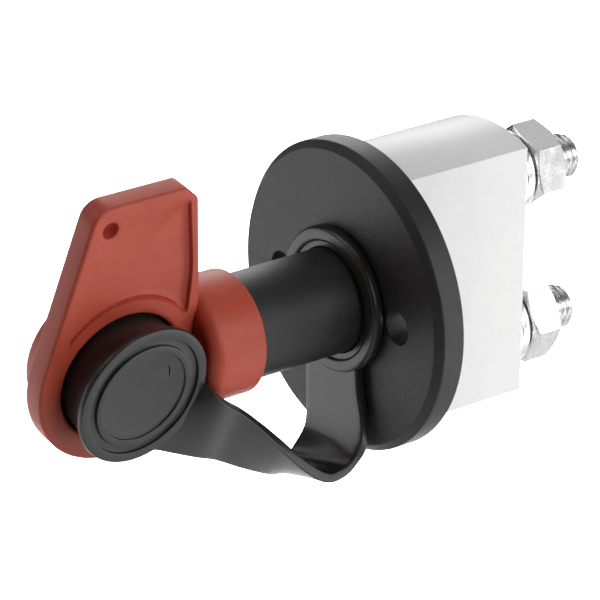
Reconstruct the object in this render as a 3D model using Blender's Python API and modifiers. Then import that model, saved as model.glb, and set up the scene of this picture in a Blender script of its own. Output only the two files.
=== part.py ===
"""A panel-mounted battery isolator with a removable key, as an assembly of separate pieces.

Frame: metres, +Z up. The main axis is Y and passes through the origin, which lies in the flange's
back face, the plane that meets the panel. The key is at -Y and the cable terminals are at +Y.
The key, its shaft and the spindle hang on an empty that is turned about Y by KEY_ANGLE, so in their
own coordinates X is the key plate's normal and Z runs up the plate. The parked rubber cap hangs on a
second empty in the key's eye, which leans a little.
"""

import math

import bmesh
import bpy
from mathutils import Matrix, Vector

MM = 0.001
GAP = 0.3 * MM

# Flange and neck, one black moulding.
FLANGE_RADIUS = 34.0 * MM
FLANGE_THICKNESS = 6.7 * MM
FLANGE_CHAMFER = 1.6 * MM
SCREW_HOLE_RADIUS = 3.5 * MM
SCREW_HOLE_OFFSET = 20.0 * MM
NECK_RADIUS = 11.4 * MM
NECK_END = -41.0 * MM
NECK_BORE = 9.0 * MM
JOURNAL_BORE = 4.9 * MM
COLLAR_RADIUS = 9.2 * MM
COLLAR_END = 4.0 * MM
SHOULDER = -2.6 * MM
CIRCLIP_Y = -38.2 * MM
CIRCLIP_GROOVE_RADIUS = 10.0 * MM
CIRCLIP_GROOVE_WIDTH = 1.6 * MM
CIRCLIP_THICKNESS = 1.0 * MM

# Rear housing: a circle cut off by two flat sides.
HOUSING_RADIUS = 30.7 * MM
HOUSING_HALF_WIDTH = 12.0 * MM
HOUSING_FRONT = 1.4 * MM
HOUSING_BACK = 34.7 * MM
HOUSING_WALL = 2.5 * MM
HOUSING_EDGE = 0.4 * MM
POST_X = 7.3 * MM
POST_RADIUS = 2.2 * MM
POST_HOLE_RADIUS = 1.5 * MM
POST_HOLE_DEPTH = 12.0 * MM
SPRING_POST_RADIUS = 2.8 * MM
SPRING_POST_FRONT = 28.0 * MM

# Terminals: M10 studs with plain washers, split lock washers and nuts.
STUD_Z = 18.0 * MM
STUD_RADIUS = 5.0 * MM
STUD_END = 56.1 * MM
STUD_HEAD_RADIUS = 7.5 * MM
STUD_HEAD_FRONT = 26.6 * MM
STUD_CLEARANCE = 0.4 * MM
WASHER_RADIUS = 10.0 * MM
WASHER_THICKNESS = 2.0 * MM
LOCK_WASHER_RADIUS = 8.2 * MM
LOCK_WASHER_THICKNESS = 2.2 * MM
LOCK_WASHER_RISE = 1.2 * MM
NUT_ACROSS_FLATS = 17.0 * MM
NUT_HEIGHT = 7.9 * MM
NUT_FRONT = 41.0 * MM
NUT_TURNS = {"upper": math.radians(41.1), "lower": math.radians(59.5)}

# Key.
KEY_ANGLE = math.radians(10.5)
PLATE_FRONT = 4.2 * MM
PLATE_BACK = -1.2 * MM
PLATE_TOP = 41.4 * MM
PLATE_EDGE = 1.0 * MM
EYE_Y = -65.0 * MM
EYE_RADIUS = 19.7 * MM
EYE_BORE = 14.4 * MM
EYE_FLOOR = -6.3 * MM
BOSS_RADIUS = 16.2 * MM
BOSS_BACK = -8.2 * MM
LANYARD_HOLE_RADIUS = 1.85 * MM
LANYARD_Y = -71.6 * MM
LANYARD_Z = 36.2 * MM
RECESS_DEPTH = 1.3 * MM
HUB_RADIUS = 13.35 * MM
HUB_BACK = -35.1 * MM
HUB_FRONT = -48.3 * MM
HUB_EDGE = 3.0 * MM
HUB_BORE = 11.9 * MM
HUB_BORE_END = -41.6 * MM
STEM_RADIUS = 4.0 * MM
SHAFT_HALF_WIDTH = 3.4 * MM
SHAFT_FRONT = -47.0 * MM
SHAFT_END = -22.0 * MM
SOCKET_CLEARANCE = 0.3 * MM
PIN_Y = -44.3 * MM
PIN_RADIUS = 1.2 * MM
PIN_LOW = -13.0 * MM
PIN_HIGH = 5.4 * MM

# Rubber cap, parked in the key's eye, and its strap and ring.
# The cap leans in the eye, because its strap pulls one side back.
CAP_LEAN_DOWN = math.radians(1.8)
CAP_LEAN_BACK = math.radians(2.15)
CAP_Y = EYE_Y - 0.15 * MM
CAP_RADIUS = 15.7 * MM
CAP_FRONT = 12.0 * MM
CAP_THICKNESS = 2.0 * MM
SKIRT_RADIUS = 13.75 * MM
SKIRT_WALL = 2.1 * MM
SKIRT_END = -5.3 * MM
RING_RADIUS = 16.1 * MM
RING_BORE = 11.8 * MM
RING_THICKNESS = 2.1 * MM
STRAP_THICKNESS = 2.2 * MM

# Spindle, which turns in the neck.
BARREL_RADIUS = 8.6 * MM
BARREL_FRONT = -37.1 * MM
BARREL_BACK = -3.0 * MM
JOURNAL_RADIUS = 4.6 * MM
JOURNAL_BACK = 9.4 * MM
CAM_BAR_BACK = 13.0 * MM
CAM_BAR_HALF_LENGTH = 4.4 * MM
CAM_BAR_HALF_WIDTH = 1.1 * MM
SOCKET_END = -19.0 * MM
SEAL_Y = -31.0 * MM
SEAL_RADIUS = 7.7 * MM
SEAL_SECTION = 1.0 * MM

# Moving contact: a copper bar on a carrier that the spindle's cam pushes back.
CONTACT_TRAVEL = 3.0 * MM
CARRIER_FRONT = 14.9 * MM
CARRIER_BACK = 18.7 * MM
CARRIER_HALF_WIDTH = 9.1 * MM
CARRIER_HALF_HEIGHT = 6.5 * MM
SPIGOT_RADIUS = 3.0 * MM
SPIGOT_BACK = 24.0 * MM
RAMP_INNER = 2.6 * MM
RAMP_OUTER = 4.5 * MM
RAMP_GAP = 1.0 * MM
BAR_FRONT = 19.0 * MM
BAR_BACK = 21.7 * MM
BAR_HALF_WIDTH = 4.5 * MM
BAR_HALF_LENGTH = 23.5 * MM
TIP_RADIUS = 4.0 * MM
TIP_BACK = 23.3 * MM
SPRING_RADIUS = 3.95 * MM
SPRING_WIRE = 0.45 * MM
SPRING_TURNS = 6

LARGE_ROUND = 72
MEDIUM_ROUND = 48
SMALL_ROUND = 28


def clear_scene():
    for obj in list(bpy.data.objects):
        bpy.data.objects.remove(obj, do_unlink=True)


def new_collection(name):
    collection = bpy.data.collections.new(name)
    bpy.context.scene.collection.children.link(collection)
    return collection


def plastic(name, colour, roughness, metallic=0.0):
    material = bpy.data.materials.new(name)
    material.use_nodes = True
    shader = material.node_tree.nodes["Principled BSDF"]
    shader.inputs["Base Color"].default_value = (*colour, 1.0)
    shader.inputs["Roughness"].default_value = roughness
    shader.inputs["Metallic"].default_value = metallic
    material.diffuse_color = (*colour, 1.0)
    return material


clear_scene()
PARTS = new_collection("battery_switch")
CUTTERS = new_collection("cutters")
KEY_POSE = bpy.data.objects.new("key_pose", None)
KEY_POSE.rotation_euler = (0.0, KEY_ANGLE, 0.0)
PARTS.objects.link(KEY_POSE)
CAP_POSE = bpy.data.objects.new("cap_pose", None)
CAP_POSE.parent = KEY_POSE
CAP_POSE.location = (0.0, CAP_Y, 0.0)
CAP_POSE.rotation_euler = (0.0, CAP_LEAN_DOWN, CAP_LEAN_BACK)
PARTS.objects.link(CAP_POSE)

BLACK = plastic("black_plastic", (0.028, 0.028, 0.027), 0.45)
WHITE = plastic("white_moulding", (0.78, 0.78, 0.78), 0.5)
RED = plastic("red_plastic", (0.46, 0.09, 0.06), 0.4)
RUBBER = plastic("rubber", (0.07, 0.071, 0.067), 0.5)
CHROME = plastic("bright_plating", (0.75, 0.75, 0.76), 0.12, 1.0)
STEEL = plastic("steel", (0.45, 0.45, 0.46), 0.3, 1.0)
COPPER = plastic("copper", (0.72, 0.36, 0.22), 0.3, 1.0)
SILVER = plastic("contact_silver", (0.82, 0.81, 0.78), 0.25, 1.0)
CREAM = plastic("carrier_plastic", (0.62, 0.58, 0.46), 0.5)


def add_object(name, mesh, material, parent=None):
    """A visible piece of the assembly, or a hidden cutter where no material is given."""
    obj = bpy.data.objects.new(name, mesh)
    if material is None:
        CUTTERS.objects.link(obj)
        obj.hide_render = True
        obj.display_type = "WIRE"
    else:
        mesh.materials.append(material)
        PARTS.objects.link(obj)
    obj.parent = parent
    return obj


def mesh_from(build):
    bm = bmesh.new()
    build(bm)
    bmesh.ops.recalc_face_normals(bm, faces=bm.faces)
    mesh = bpy.data.meshes.new("shape")
    bm.to_mesh(mesh)
    bm.free()
    return mesh


def box(name, low, high, material=None, parent=None):
    low, high = Vector(low), Vector(high)

    def build(bm):
        bmesh.ops.create_cube(bm, size=1.0)
        bmesh.ops.scale(bm, vec=high - low, verts=bm.verts)

    obj = add_object(name, mesh_from(build), material, parent)
    obj.location = (low + high) / 2
    return obj


AXIS_TURN = {
    "X": (0.0, math.pi / 2, 0.0),
    "Y": (-math.pi / 2, 0.0, 0.0),
    "Z": (0.0, 0.0, 0.0),
}


def cylinder(name, radius, start, length, axis="Y", material=None, parent=None, sides=SMALL_ROUND):
    """A cylinder from the point start, running along +axis."""

    def build(bm):
        bmesh.ops.create_cone(
            bm, cap_ends=True, segments=sides, radius1=radius, radius2=radius, depth=length
        )
        bmesh.ops.translate(bm, vec=(0, 0, length / 2), verts=bm.verts)

    obj = add_object(name, mesh_from(build), material, parent)
    obj.location = start
    obj.rotation_euler = AXIS_TURN[axis]
    return obj


def turned(name, profile, material=None, axis="Y", at=(0, 0, 0), steps=MEDIUM_ROUND, parent=None):
    """A turned solid. The profile is (radius, height along axis), down the outer side, top to bottom."""
    mesh = bpy.data.meshes.new(name)
    points = [(radius, 0.0, height) for radius, height in profile]
    edges = [(n, n + 1) for n in range(len(points) - 1)]
    on_axis = profile[0][0] == 0.0 and profile[-1][0] == 0.0
    if not on_axis:
        edges.append((len(points) - 1, 0))
    mesh.from_pydata(points, edges, [])
    obj = add_object(name, mesh, material, parent)
    obj.location = at
    obj.rotation_euler = AXIS_TURN[axis]
    screw = obj.modifiers.new("Turn", "SCREW")
    screw.axis = "Z"
    screw.steps = steps
    screw.render_steps = steps
    screw.use_smooth_shade = False
    screw.use_merge_vertices = True
    screw.merge_threshold = 0.00001
    return obj


def flat_outline(name, outline, thickness, material=None, parent=None):
    """A closed outline in the local XY plane, with its thickness centred on that plane, as a mesh."""
    curve = bpy.data.curves.new(name, "CURVE")
    curve.dimensions = "2D"
    curve.fill_mode = "BOTH"
    curve.extrude = thickness / 2
    spline = curve.splines.new("POLY")
    spline.points.add(len(outline) - 1)
    for point, (x, y) in zip(spline.points, outline):
        point.co = (x, y, 0.0, 1.0)
    spline.use_cyclic_u = True
    guide = bpy.data.objects.new(name + "_guide", curve)
    CUTTERS.objects.link(guide)
    bpy.context.view_layer.update()
    graph = bpy.context.evaluated_depsgraph_get()
    mesh = bpy.data.meshes.new_from_object(guide.evaluated_get(graph))
    bpy.data.objects.remove(guide)
    bm = bmesh.new()
    bm.from_mesh(mesh)
    bmesh.ops.remove_doubles(bm, verts=bm.verts, dist=0.000001)
    bmesh.ops.dissolve_limit(bm, angle_limit=0.01, verts=bm.verts, edges=bm.edges)
    bmesh.ops.recalc_face_normals(bm, faces=bm.faces)
    bm.to_mesh(mesh)
    bm.free()
    mesh.materials.clear()
    return add_object(name, mesh, material, parent)


def loft(name, sections, material, parent=None):
    """A solid through rings of points, each section a list of the same number of corners, capped."""

    def build(bm):
        rings = [[bm.verts.new(point) for point in section] for section in sections]
        count = len(rings[0])
        for before, after in zip(rings, rings[1:]):
            for n in range(count):
                m = (n + 1) % count
                bm.faces.new((before[n], before[m], after[m], after[n]))
        bm.faces.new(reversed(rings[0]))
        bm.faces.new(rings[-1])

    return add_object(name, mesh_from(build), material, parent)


def combine(obj, other, operation):
    boolean = obj.modifiers.new(other.name, "BOOLEAN")
    boolean.operation = operation
    boolean.object = other
    boolean.solver = "EXACT"
    return obj


def cut(obj, *others):
    for other in others:
        combine(obj, other, "DIFFERENCE")
    return obj


def join(obj, *others):
    for other in others:
        combine(obj, other, "UNION")
    return obj


def bevel(obj, width, segments=2):
    modifier = obj.modifiers.new("Edges", "BEVEL")
    modifier.width = width
    modifier.segments = segments
    modifier.limit_method = "ANGLE"
    modifier.angle_limit = math.radians(40)
    return obj


def arc(centre, radius, start, end, steps):
    """Points of an arc, both ends included. The angles are in degrees."""
    points = []
    for n in range(steps + 1):
        angle = math.radians(start + (end - start) * n / steps)
        points.append((centre[0] + radius * math.cos(angle), centre[1] + radius * math.sin(angle)))
    return points


def housing_outline(radius, half_width):
    """The housing's section: arcs at the top and bottom, flat at both sides."""
    corner = math.degrees(math.acos(half_width / radius))
    return arc((0, 0), radius, corner, 180 - corner, 14) + arc(
        (0, 0), radius, 180 + corner, 360 - corner, 14
    )


def housing_prism(name, radius, half_width, front, back, material=None):
    """The housing's section as a prism along Y."""
    obj = flat_outline(name, housing_outline(radius, half_width), back - front, material)
    obj.rotation_euler = AXIS_TURN["Y"]
    obj.location = (0.0, (front + back) / 2, 0.0)
    return obj


def make_flange_body():
    """Flange, neck, rear collar and the two posts that the housing screws bite into."""
    groove_front = CIRCLIP_Y - CIRCLIP_GROOVE_WIDTH / 2
    groove_back = CIRCLIP_Y + CIRCLIP_GROOVE_WIDTH / 2
    chamfer = 0.8 * MM
    body = turned(
        "flange_body",
        [
            (JOURNAL_BORE, COLLAR_END),
            (COLLAR_RADIUS, COLLAR_END),
            (COLLAR_RADIUS, 0.0),
            (FLANGE_RADIUS, 0.0),
            (FLANGE_RADIUS, FLANGE_CHAMFER - FLANGE_THICKNESS),
            (FLANGE_RADIUS - FLANGE_CHAMFER, -FLANGE_THICKNESS),
            (NECK_RADIUS, -FLANGE_THICKNESS),
            (NECK_RADIUS, NECK_END + chamfer),
            (NECK_RADIUS - chamfer, NECK_END),
            (NECK_BORE, NECK_END),
            (NECK_BORE, groove_front),
            (CIRCLIP_GROOVE_RADIUS, groove_front),
            (CIRCLIP_GROOVE_RADIUS, groove_back),
            (NECK_BORE, groove_back),
            (NECK_BORE, SHOULDER),
            (JOURNAL_BORE, SHOULDER),
        ],
        BLACK,
        steps=LARGE_ROUND,
    )
    post_end = HOUSING_BACK - HOUSING_WALL - GAP
    for side, x in (("left", -POST_X), ("right", POST_X)):
        post = cylinder(
            "post_" + side, POST_RADIUS, (x, -1.0 * MM, 0), post_end + 1.0 * MM, sides=16
        )
        join(body, post)
    for side, sign in (("left", -1), ("right", 1)):
        start = post_end - POST_HOLE_DEPTH
        pilot = cylinder(
            "pilot_" + side,
            POST_HOLE_RADIUS,
            (sign * POST_X, start, 0),
            POST_HOLE_DEPTH + 1.0 * MM,
            sides=12,
        )
        hole = cylinder(
            "mounting_hole_" + side,
            SCREW_HOLE_RADIUS,
            (sign * SCREW_HOLE_OFFSET, -10.0 * MM, 0),
            12.0 * MM,
        )
        cut(body, pilot, hole)
    return body


def make_rear_housing():
    housing = housing_prism(
        "rear_housing",
        HOUSING_RADIUS,
        HOUSING_HALF_WIDTH,
        HOUSING_FRONT,
        HOUSING_BACK,
        WHITE,
    )
    bevel(housing, HOUSING_EDGE, 1)
    floor = HOUSING_BACK - HOUSING_WALL
    hollow = housing_prism(
        "housing_hollow",
        HOUSING_RADIUS - HOUSING_WALL,
        HOUSING_HALF_WIDTH - HOUSING_WALL,
        HOUSING_FRONT - 1.0 * MM,
        floor,
    )
    cut(housing, hollow)
    spring_post = cylinder(
        "spring_post",
        SPRING_POST_RADIUS,
        (0, SPRING_POST_FRONT, 0),
        floor - SPRING_POST_FRONT + 1.0 * MM,
        sides=16,
    )
    join(housing, spring_post)
    for z in (-STUD_Z, STUD_Z):
        cut(
            housing,
            cylinder("stud_hole", STUD_RADIUS + STUD_CLEARANCE, (0, floor - 1.0 * MM, z), 6.0 * MM),
        )
    for x in (-POST_X, POST_X):
        cut(
            housing,
            cylinder("screw_hole", POST_HOLE_RADIUS, (x, floor - 1.0 * MM, 0), 6.0 * MM, sides=12),
        )
    return housing


def make_gasket():
    """A flat seal between the flange and the housing's rim."""
    back = HOUSING_FRONT - GAP
    gasket = housing_prism(
        "housing_gasket",
        HOUSING_RADIUS - 0.3 * MM,
        HOUSING_HALF_WIDTH - 0.3 * MM,
        GAP,
        back,
        RUBBER,
    )
    hole = housing_prism(
        "gasket_hole",
        HOUSING_RADIUS - HOUSING_WALL + 0.2 * MM,
        HOUSING_HALF_WIDTH - HOUSING_WALL + 0.2 * MM,
        -1.0 * MM,
        back + 1.0 * MM,
    )
    return cut(gasket, hole)


def make_housing_screw(name, x):
    """A pan-head screw from the back, with a cross recess."""
    head_front = HOUSING_BACK + GAP
    head_back = head_front + 1.8 * MM
    end = HOUSING_BACK - HOUSING_WALL - 9.0 * MM
    screw = turned(
        name,
        [
            (0.0, head_back),
            (1.7 * MM, head_back),
            (2.5 * MM, head_back - 0.7 * MM),
            (2.7 * MM, head_front),
            (1.2 * MM, head_front),
            (1.2 * MM, end + 1.2 * MM),
            (0.3 * MM, end),
            (0.0, end),
        ],
        STEEL,
        at=(x, 0, 0),
        steps=20,
    )
    for long_way in (0, 2):
        half = [0.3 * MM, 0.0, 0.3 * MM]
        half[long_way] = 1.5 * MM
        low = (x - half[0], head_back - 0.9 * MM, -half[2])
        high = (x + half[0], head_back + 1.0 * MM, half[2])
        cut(screw, box(name + "_slot", low, high))
    return screw


def make_terminal(side, z):
    """One terminal: stud, plain washer, split lock washer and nut."""
    floor = HOUSING_BACK - HOUSING_WALL
    head_back = floor - GAP
    chamfer = 0.8 * MM
    turned(
        side + "_terminal_stud",
        [
            (0.0, STUD_END),
            (STUD_RADIUS - chamfer, STUD_END),
            (STUD_RADIUS, STUD_END - chamfer),
            (STUD_RADIUS, head_back),
            (STUD_HEAD_RADIUS, head_back),
            (STUD_HEAD_RADIUS, STUD_HEAD_FRONT + 0.5 * MM),
            (STUD_HEAD_RADIUS - 0.5 * MM, STUD_HEAD_FRONT),
            (0.0, STUD_HEAD_FRONT),
        ],
        CHROME,
        at=(0, 0, z),
        steps=32,
    )
    hole = STUD_RADIUS + STUD_CLEARANCE
    front = HOUSING_BACK + GAP
    back = front + WASHER_THICKNESS
    edge = 0.2 * MM
    turned(
        side + "_plain_washer",
        [
            (hole, back),
            (WASHER_RADIUS - edge, back),
            (WASHER_RADIUS, back - edge),
            (WASHER_RADIUS, front + edge),
            (WASHER_RADIUS - edge, front),
            (hole, front),
        ],
        CHROME,
        at=(0, 0, z),
        steps=32,
    )
    make_lock_washer(side + "_lock_washer", z, back + GAP)
    make_nut(side + "_terminal_nut", z, NUT_TURNS[side])


def make_lock_washer(name, z, front):
    """A split ring that climbs by LOCK_WASHER_RISE over one turn."""
    hole = STUD_RADIUS + STUD_CLEARANCE
    opening = math.radians(16)
    start = math.radians(-70)
    sections = []
    steps = 30
    for n in range(steps + 1):
        share = n / steps
        angle = start + opening / 2 + share * (2 * math.pi - opening)
        rise = front + share * LOCK_WASHER_RISE
        section = []
        for radius, height in (
            (hole, 0.0),
            (LOCK_WASHER_RADIUS, 0.0),
            (LOCK_WASHER_RADIUS, LOCK_WASHER_THICKNESS),
            (hole, LOCK_WASHER_THICKNESS),
        ):
            section.append((radius * math.cos(angle), rise + height, radius * math.sin(angle)))
        sections.append(section)
    washer = loft(name, sections, CHROME)
    washer.location = (0, 0, z)
    return washer


def make_nut(name, z, turn):
    """A hexagon whose corners are turned off at 30 degrees, with a plain bore."""
    corner = NUT_ACROSS_FLATS / math.sqrt(3)
    nut = cylinder(name, corner, (0, NUT_FRONT, z), NUT_HEIGHT, material=CHROME, sides=6)
    nut.data.transform(Matrix.Rotation(nut_corner_turn(nut.data, turn), 4, "Z"))
    face = NUT_ACROSS_FLATS / 2 * 0.95
    slope = math.tan(math.radians(30))
    outer = corner + 1.0 * MM
    depth = (outer - face) * slope
    back = NUT_FRONT + NUT_HEIGHT
    lathe = turned(
        name + "_corners",
        [
            (0.0, back),
            (face, back),
            (outer, back - depth),
            (outer, NUT_FRONT + depth),
            (face, NUT_FRONT),
            (0.0, NUT_FRONT),
        ],
        at=(0, 0, z),
        steps=MEDIUM_ROUND,
    )
    combine(nut, lathe, "INTERSECT")
    bore = cylinder(
        name + "_bore",
        STUD_RADIUS + GAP,
        (0, NUT_FRONT - 1.0 * MM, z),
        NUT_HEIGHT + 2.0 * MM,
        sides=32,
    )
    return cut(nut, bore)


def nut_corner_turn(mesh, wanted):
    """The turn that takes the hexagon's first corner to the wanted angle from world +X towards +Z."""
    first = mesh.vertices[0].co
    return -wanted - math.atan2(first.y, first.x)


def key_outline():
    """The plate's outline, as (y, z) in the key's own coordinates."""
    corner = 4.0 * MM
    left = arc((EYE_Y, 0.0), EYE_RADIUS, 330, 166.5, 26)
    top_left = arc((-72.0 * MM, PLATE_TOP - corner), corner, 166.5, 90, 6)
    right = [
        (-53.8 * MM, PLATE_TOP),
        (-50.5 * MM, 38.4 * MM),
        (-47.4 * MM, 14.6 * MM),
        (-47.8 * MM, -9.85 * MM),
    ]
    return left + top_left + right


def recess_outline():
    """The recess in the plate's face: an arc about the eye, a straight right side, and a far left."""
    inner = arc((EYE_Y, 0.0), 17.9 * MM, 133, 46, 12)
    turn = arc((-51.6 * MM, 13.1 * MM), 1.6 * MM, 270, 360, 6)
    right = [(-50.0 * MM, 20.5 * MM), (-52.3 * MM, 38.0 * MM), (-54.5 * MM, 39.4 * MM)]
    return inner + turn + right + [(-84.0 * MM, 30.0 * MM)]


def in_key_plane(obj, front, back):
    """Stands an outline drawn as (y, z) between two distances along the plate's normal."""
    # Local X, Y, Z of the outline go to the key's Y, Z, X.
    obj.rotation_euler = (math.pi / 2, 0.0, math.pi / 2)
    obj.location = ((front + back) / 2, 0.0, 0.0)
    return obj


def make_key_handle():
    handle = flat_outline(
        "key_handle", key_outline(), PLATE_FRONT - PLATE_BACK, RED, parent=KEY_POSE
    )
    in_key_plane(handle, PLATE_FRONT, PLATE_BACK)
    bevel(handle, PLATE_EDGE, 2)
    boss = turned(
        "eye_boss",
        [
            (0.0, PLATE_FRONT - 2.0 * MM),
            (BOSS_RADIUS, PLATE_FRONT - 2.0 * MM),
            (BOSS_RADIUS, PLATE_BACK),
            (BOSS_RADIUS - 0.6 * MM, BOSS_BACK + 1.6 * MM),
            (BOSS_RADIUS - 1.1 * MM, BOSS_BACK + 0.5 * MM),
            (BOSS_RADIUS - 2.2 * MM, BOSS_BACK),
            (0.0, BOSS_BACK),
        ],
        axis="X",
        at=(0, EYE_Y, 0),
        parent=KEY_POSE,
    )
    hub = turned("hub", hub_profile(), parent=KEY_POSE, steps=MEDIUM_ROUND)
    join(handle, boss, hub)
    bore = cylinder(
        "eye_bore", EYE_BORE, (EYE_FLOOR, EYE_Y, 0), 20.0 * MM, axis="X", parent=KEY_POSE, sides=48
    )
    lanyard = cylinder(
        "lanyard_hole",
        LANYARD_HOLE_RADIUS,
        (-10.0 * MM, LANYARD_Y, LANYARD_Z),
        20.0 * MM,
        axis="X",
        parent=KEY_POSE,
        sides=20,
    )
    hole = SHAFT_HALF_WIDTH + SOCKET_CLEARANCE
    shaft_hole = box(
        "shaft_hole",
        (-hole, SHAFT_FRONT - GAP, -hole),
        (hole, HUB_BORE_END + 1.0 * MM, hole),
        parent=KEY_POSE,
    )
    pin_hole = cylinder(
        "pin_hole",
        PIN_RADIUS + GAP,
        (0, PIN_Y, -20.0 * MM),
        20.0 * MM + PIN_HIGH + GAP,
        axis="Z",
        parent=KEY_POSE,
        sides=14,
    )
    cut(handle, bore, lanyard, make_recess_cutter(), shaft_hole, pin_hole)
    return handle


def hub_profile():
    """The drum over the neck's end, with a rounded front, and a stub that reaches into the plate."""
    edge = 0.6 * MM
    front_edge = []
    steps = 6
    for n in range(steps + 1):
        angle = math.pi / 2 * n / steps
        radius = HUB_RADIUS - HUB_EDGE * (1 - math.cos(angle))
        height = HUB_FRONT + HUB_EDGE * (1 - math.sin(angle))
        front_edge.append((radius, height))
    stem_end = EYE_Y + EYE_BORE - 2.0 * MM
    return [
        (0.0, HUB_BORE_END),
        (HUB_BORE, HUB_BORE_END),
        (HUB_BORE, HUB_BACK),
        (HUB_RADIUS - edge, HUB_BACK),
        (HUB_RADIUS, HUB_BACK - edge),
        *front_edge,
        (STEM_RADIUS, HUB_FRONT),
        (STEM_RADIUS, stem_end),
        (0.0, stem_end),
    ]


def make_recess_cutter():
    """A prism whose floor slopes, so the recess is deep by the eye and the right edge and fades away."""
    cutter = flat_outline("recess", recess_outline(), 6.0 * MM, parent=KEY_POSE)
    # The slope runs from the deep lower right corner to the far upper left.
    deep = Vector((-50.6 * MM, 13.0 * MM))
    shallow = Vector((-76.0 * MM, 38.0 * MM))
    along = shallow - deep
    for vertex in cutter.data.vertices:
        share = (Vector(vertex.co[:2]) - deep).dot(along) / along.length_squared
        floor = -RECESS_DEPTH * (1.0 - share)
        # Z of the outline is the plate's normal, and its lower face becomes the recess floor.
        vertex.co.z = floor if vertex.co.z < 0 else 3.0 * MM
    cutter.rotation_euler = (math.pi / 2, 0.0, math.pi / 2)
    cutter.location = (PLATE_FRONT, 0.0, 0.0)
    return cutter


def make_key_shaft():
    half = SHAFT_HALF_WIDTH
    shaft = box(
        "key_shaft",
        (-half, SHAFT_FRONT, -half),
        (half, SHAFT_END, half),
        STEEL,
        KEY_POSE,
    )
    bevel(shaft, 0.5 * MM, 1)
    pin_hole = cylinder(
        "shaft_pin_hole",
        PIN_RADIUS + GAP,
        (0, PIN_Y, -6.0 * MM),
        12.0 * MM,
        axis="Z",
        parent=KEY_POSE,
        sides=14,
    )
    cut(shaft, pin_hole)
    cylinder(
        "key_shaft_pin",
        PIN_RADIUS,
        (0, PIN_Y, PIN_LOW),
        PIN_HIGH - PIN_LOW,
        axis="Z",
        material=STEEL,
        parent=KEY_POSE,
        sides=14,
    )


def make_cap():
    """The dust cap: a ribbed disc with a hollow skirt that fits the eye or, with the key out, the neck."""
    low = CAP_FRONT - 0.7 * MM
    back = CAP_FRONT - CAP_THICKNESS
    inner = SKIRT_RADIUS - SKIRT_WALL
    edge = 0.4 * MM
    turned(
        "cap",
        [
            (0.0, CAP_FRONT - 0.4 * MM),
            (10.3 * MM, CAP_FRONT - 0.4 * MM),
            (10.5 * MM, CAP_FRONT),
            (11.8 * MM, CAP_FRONT),
            (12.0 * MM, low),
            (13.4 * MM, low),
            (13.6 * MM, CAP_FRONT),
            (CAP_RADIUS - edge, CAP_FRONT),
            (CAP_RADIUS, CAP_FRONT - edge),
            (CAP_RADIUS, back + edge),
            (CAP_RADIUS - edge, back),
            (SKIRT_RADIUS, back),
            (SKIRT_RADIUS, SKIRT_END + edge),
            (SKIRT_RADIUS - edge, SKIRT_END),
            (inner + edge, SKIRT_END),
            (inner, SKIRT_END + edge),
            (inner, back - 0.3 * MM),
            (0.0, back - 0.3 * MM),
        ],
        RUBBER,
        axis="X",
        parent=CAP_POSE,
    )


def make_neck_ring():
    back = -FLANGE_THICKNESS - GAP
    front = back - RING_THICKNESS
    edge = 0.5 * MM
    turned(
        "neck_ring",
        [
            (RING_BORE, back),
            (RING_RADIUS, back),
            (RING_RADIUS, front + edge),
            (RING_RADIUS - edge, front),
            (13.1 * MM, front),
            (12.9 * MM, front + edge),
            (RING_BORE, front + edge),
        ],
        RUBBER,
    )


# The strap's two edges from the cap to the ring, each as (x, y, z) in the middle of its thickness.
# It leaves the cap in the plane of the disc, twists a quarter turn and comes up behind as a flat tab.
STRAP_EDGES = [
    ((10.8, -53.1, -0.8), (8.2, -63.6, -14.7)),
    ((10.7, -49.3, -3.5), (8.0, -59.6, -17.4)),
    ((13.1, -47.0, -7.2), (4.8, -47.6, -23.2)),
    ((10.6, -40.5, -12.5), (2.2, -40.1, -27.2)),
    ((9.6, -35.0, -17.6), (0.3, -32.8, -31.6)),
    ((9.3, -29.9, -23.0), (-1.8, -26.3, -35.3)),
    ((9.6, -26.8, -26.6), (-3.0, -22.6, -37.3)),
    ((9.9, -23.2, -30.5), (-4.6, -19.6, -38.8)),
    ((10.2, -19.1, -34.2), (-6.1, -17.4, -39.3)),
    ((10.4, -15.7, -35.9), (-6.7, -16.0, -38.6)),
    ((10.6, -12.0, -35.3), (-6.4, -14.7, -37.2)),
    ((10.9, -9.5, -33.1), (-5.8, -13.6, -35.8)),
    ((11.9, -8.6, -30.0), (-7.3, -9.4, -33.0)),
    ((12.0, -8.2, -26.0), (-7.7, -8.2, -29.4)),
    ((11.3, -8.1, -22.2), (-7.8, -8.1, -24.2)),
    ((10.1, -8.1, -17.8), (-7.8, -8.1, -19.0)),
    ((9.4, -8.1, -11.0), (-7.4, -8.1, -12.0)),
]
STRAP_SPLIT = 4
STRAP_STEPS = 2


def smooth_through(points):
    """A smooth curve through the points, with STRAP_STEPS steps between each two."""
    curve = []
    for n in range(len(points) - 1):
        before, start, end = points[max(n - 1, 0)], points[n], points[n + 1]
        after = points[min(n + 2, len(points) - 1)]
        for step in range(STRAP_STEPS):
            t = step / STRAP_STEPS
            bend = 2 * before - 5 * start + 4 * end - after
            twist = 3 * start - before - 3 * end + after
            curve.append(start + (end - before) * t / 2 + bend * t * t / 2 + twist * t**3 / 2)
    return curve + [points[-1]]


def strap_sections():
    """Rectangular sections along the strap."""
    uppers = smooth_through([Vector(upper) * MM for upper, _ in STRAP_EDGES])
    lowers = smooth_through([Vector(lower) * MM for _, lower in STRAP_EDGES])
    middles = [(upper + lower) / 2 for upper, lower in zip(uppers, lowers)]
    sections = []
    for n, middle in enumerate(middles):
        wide = (uppers[n] - lowers[n]) / 2
        along = middles[min(n + 1, len(middles) - 1)] - middles[max(n - 1, 0)]
        thick = along.cross(wide).normalized() * STRAP_THICKNESS / 2
        sections.append([middle + a * wide + b * thick for a, b in ((1, 1), (-1, 1), (-1, -1), (1, -1))])
    return sections


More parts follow.
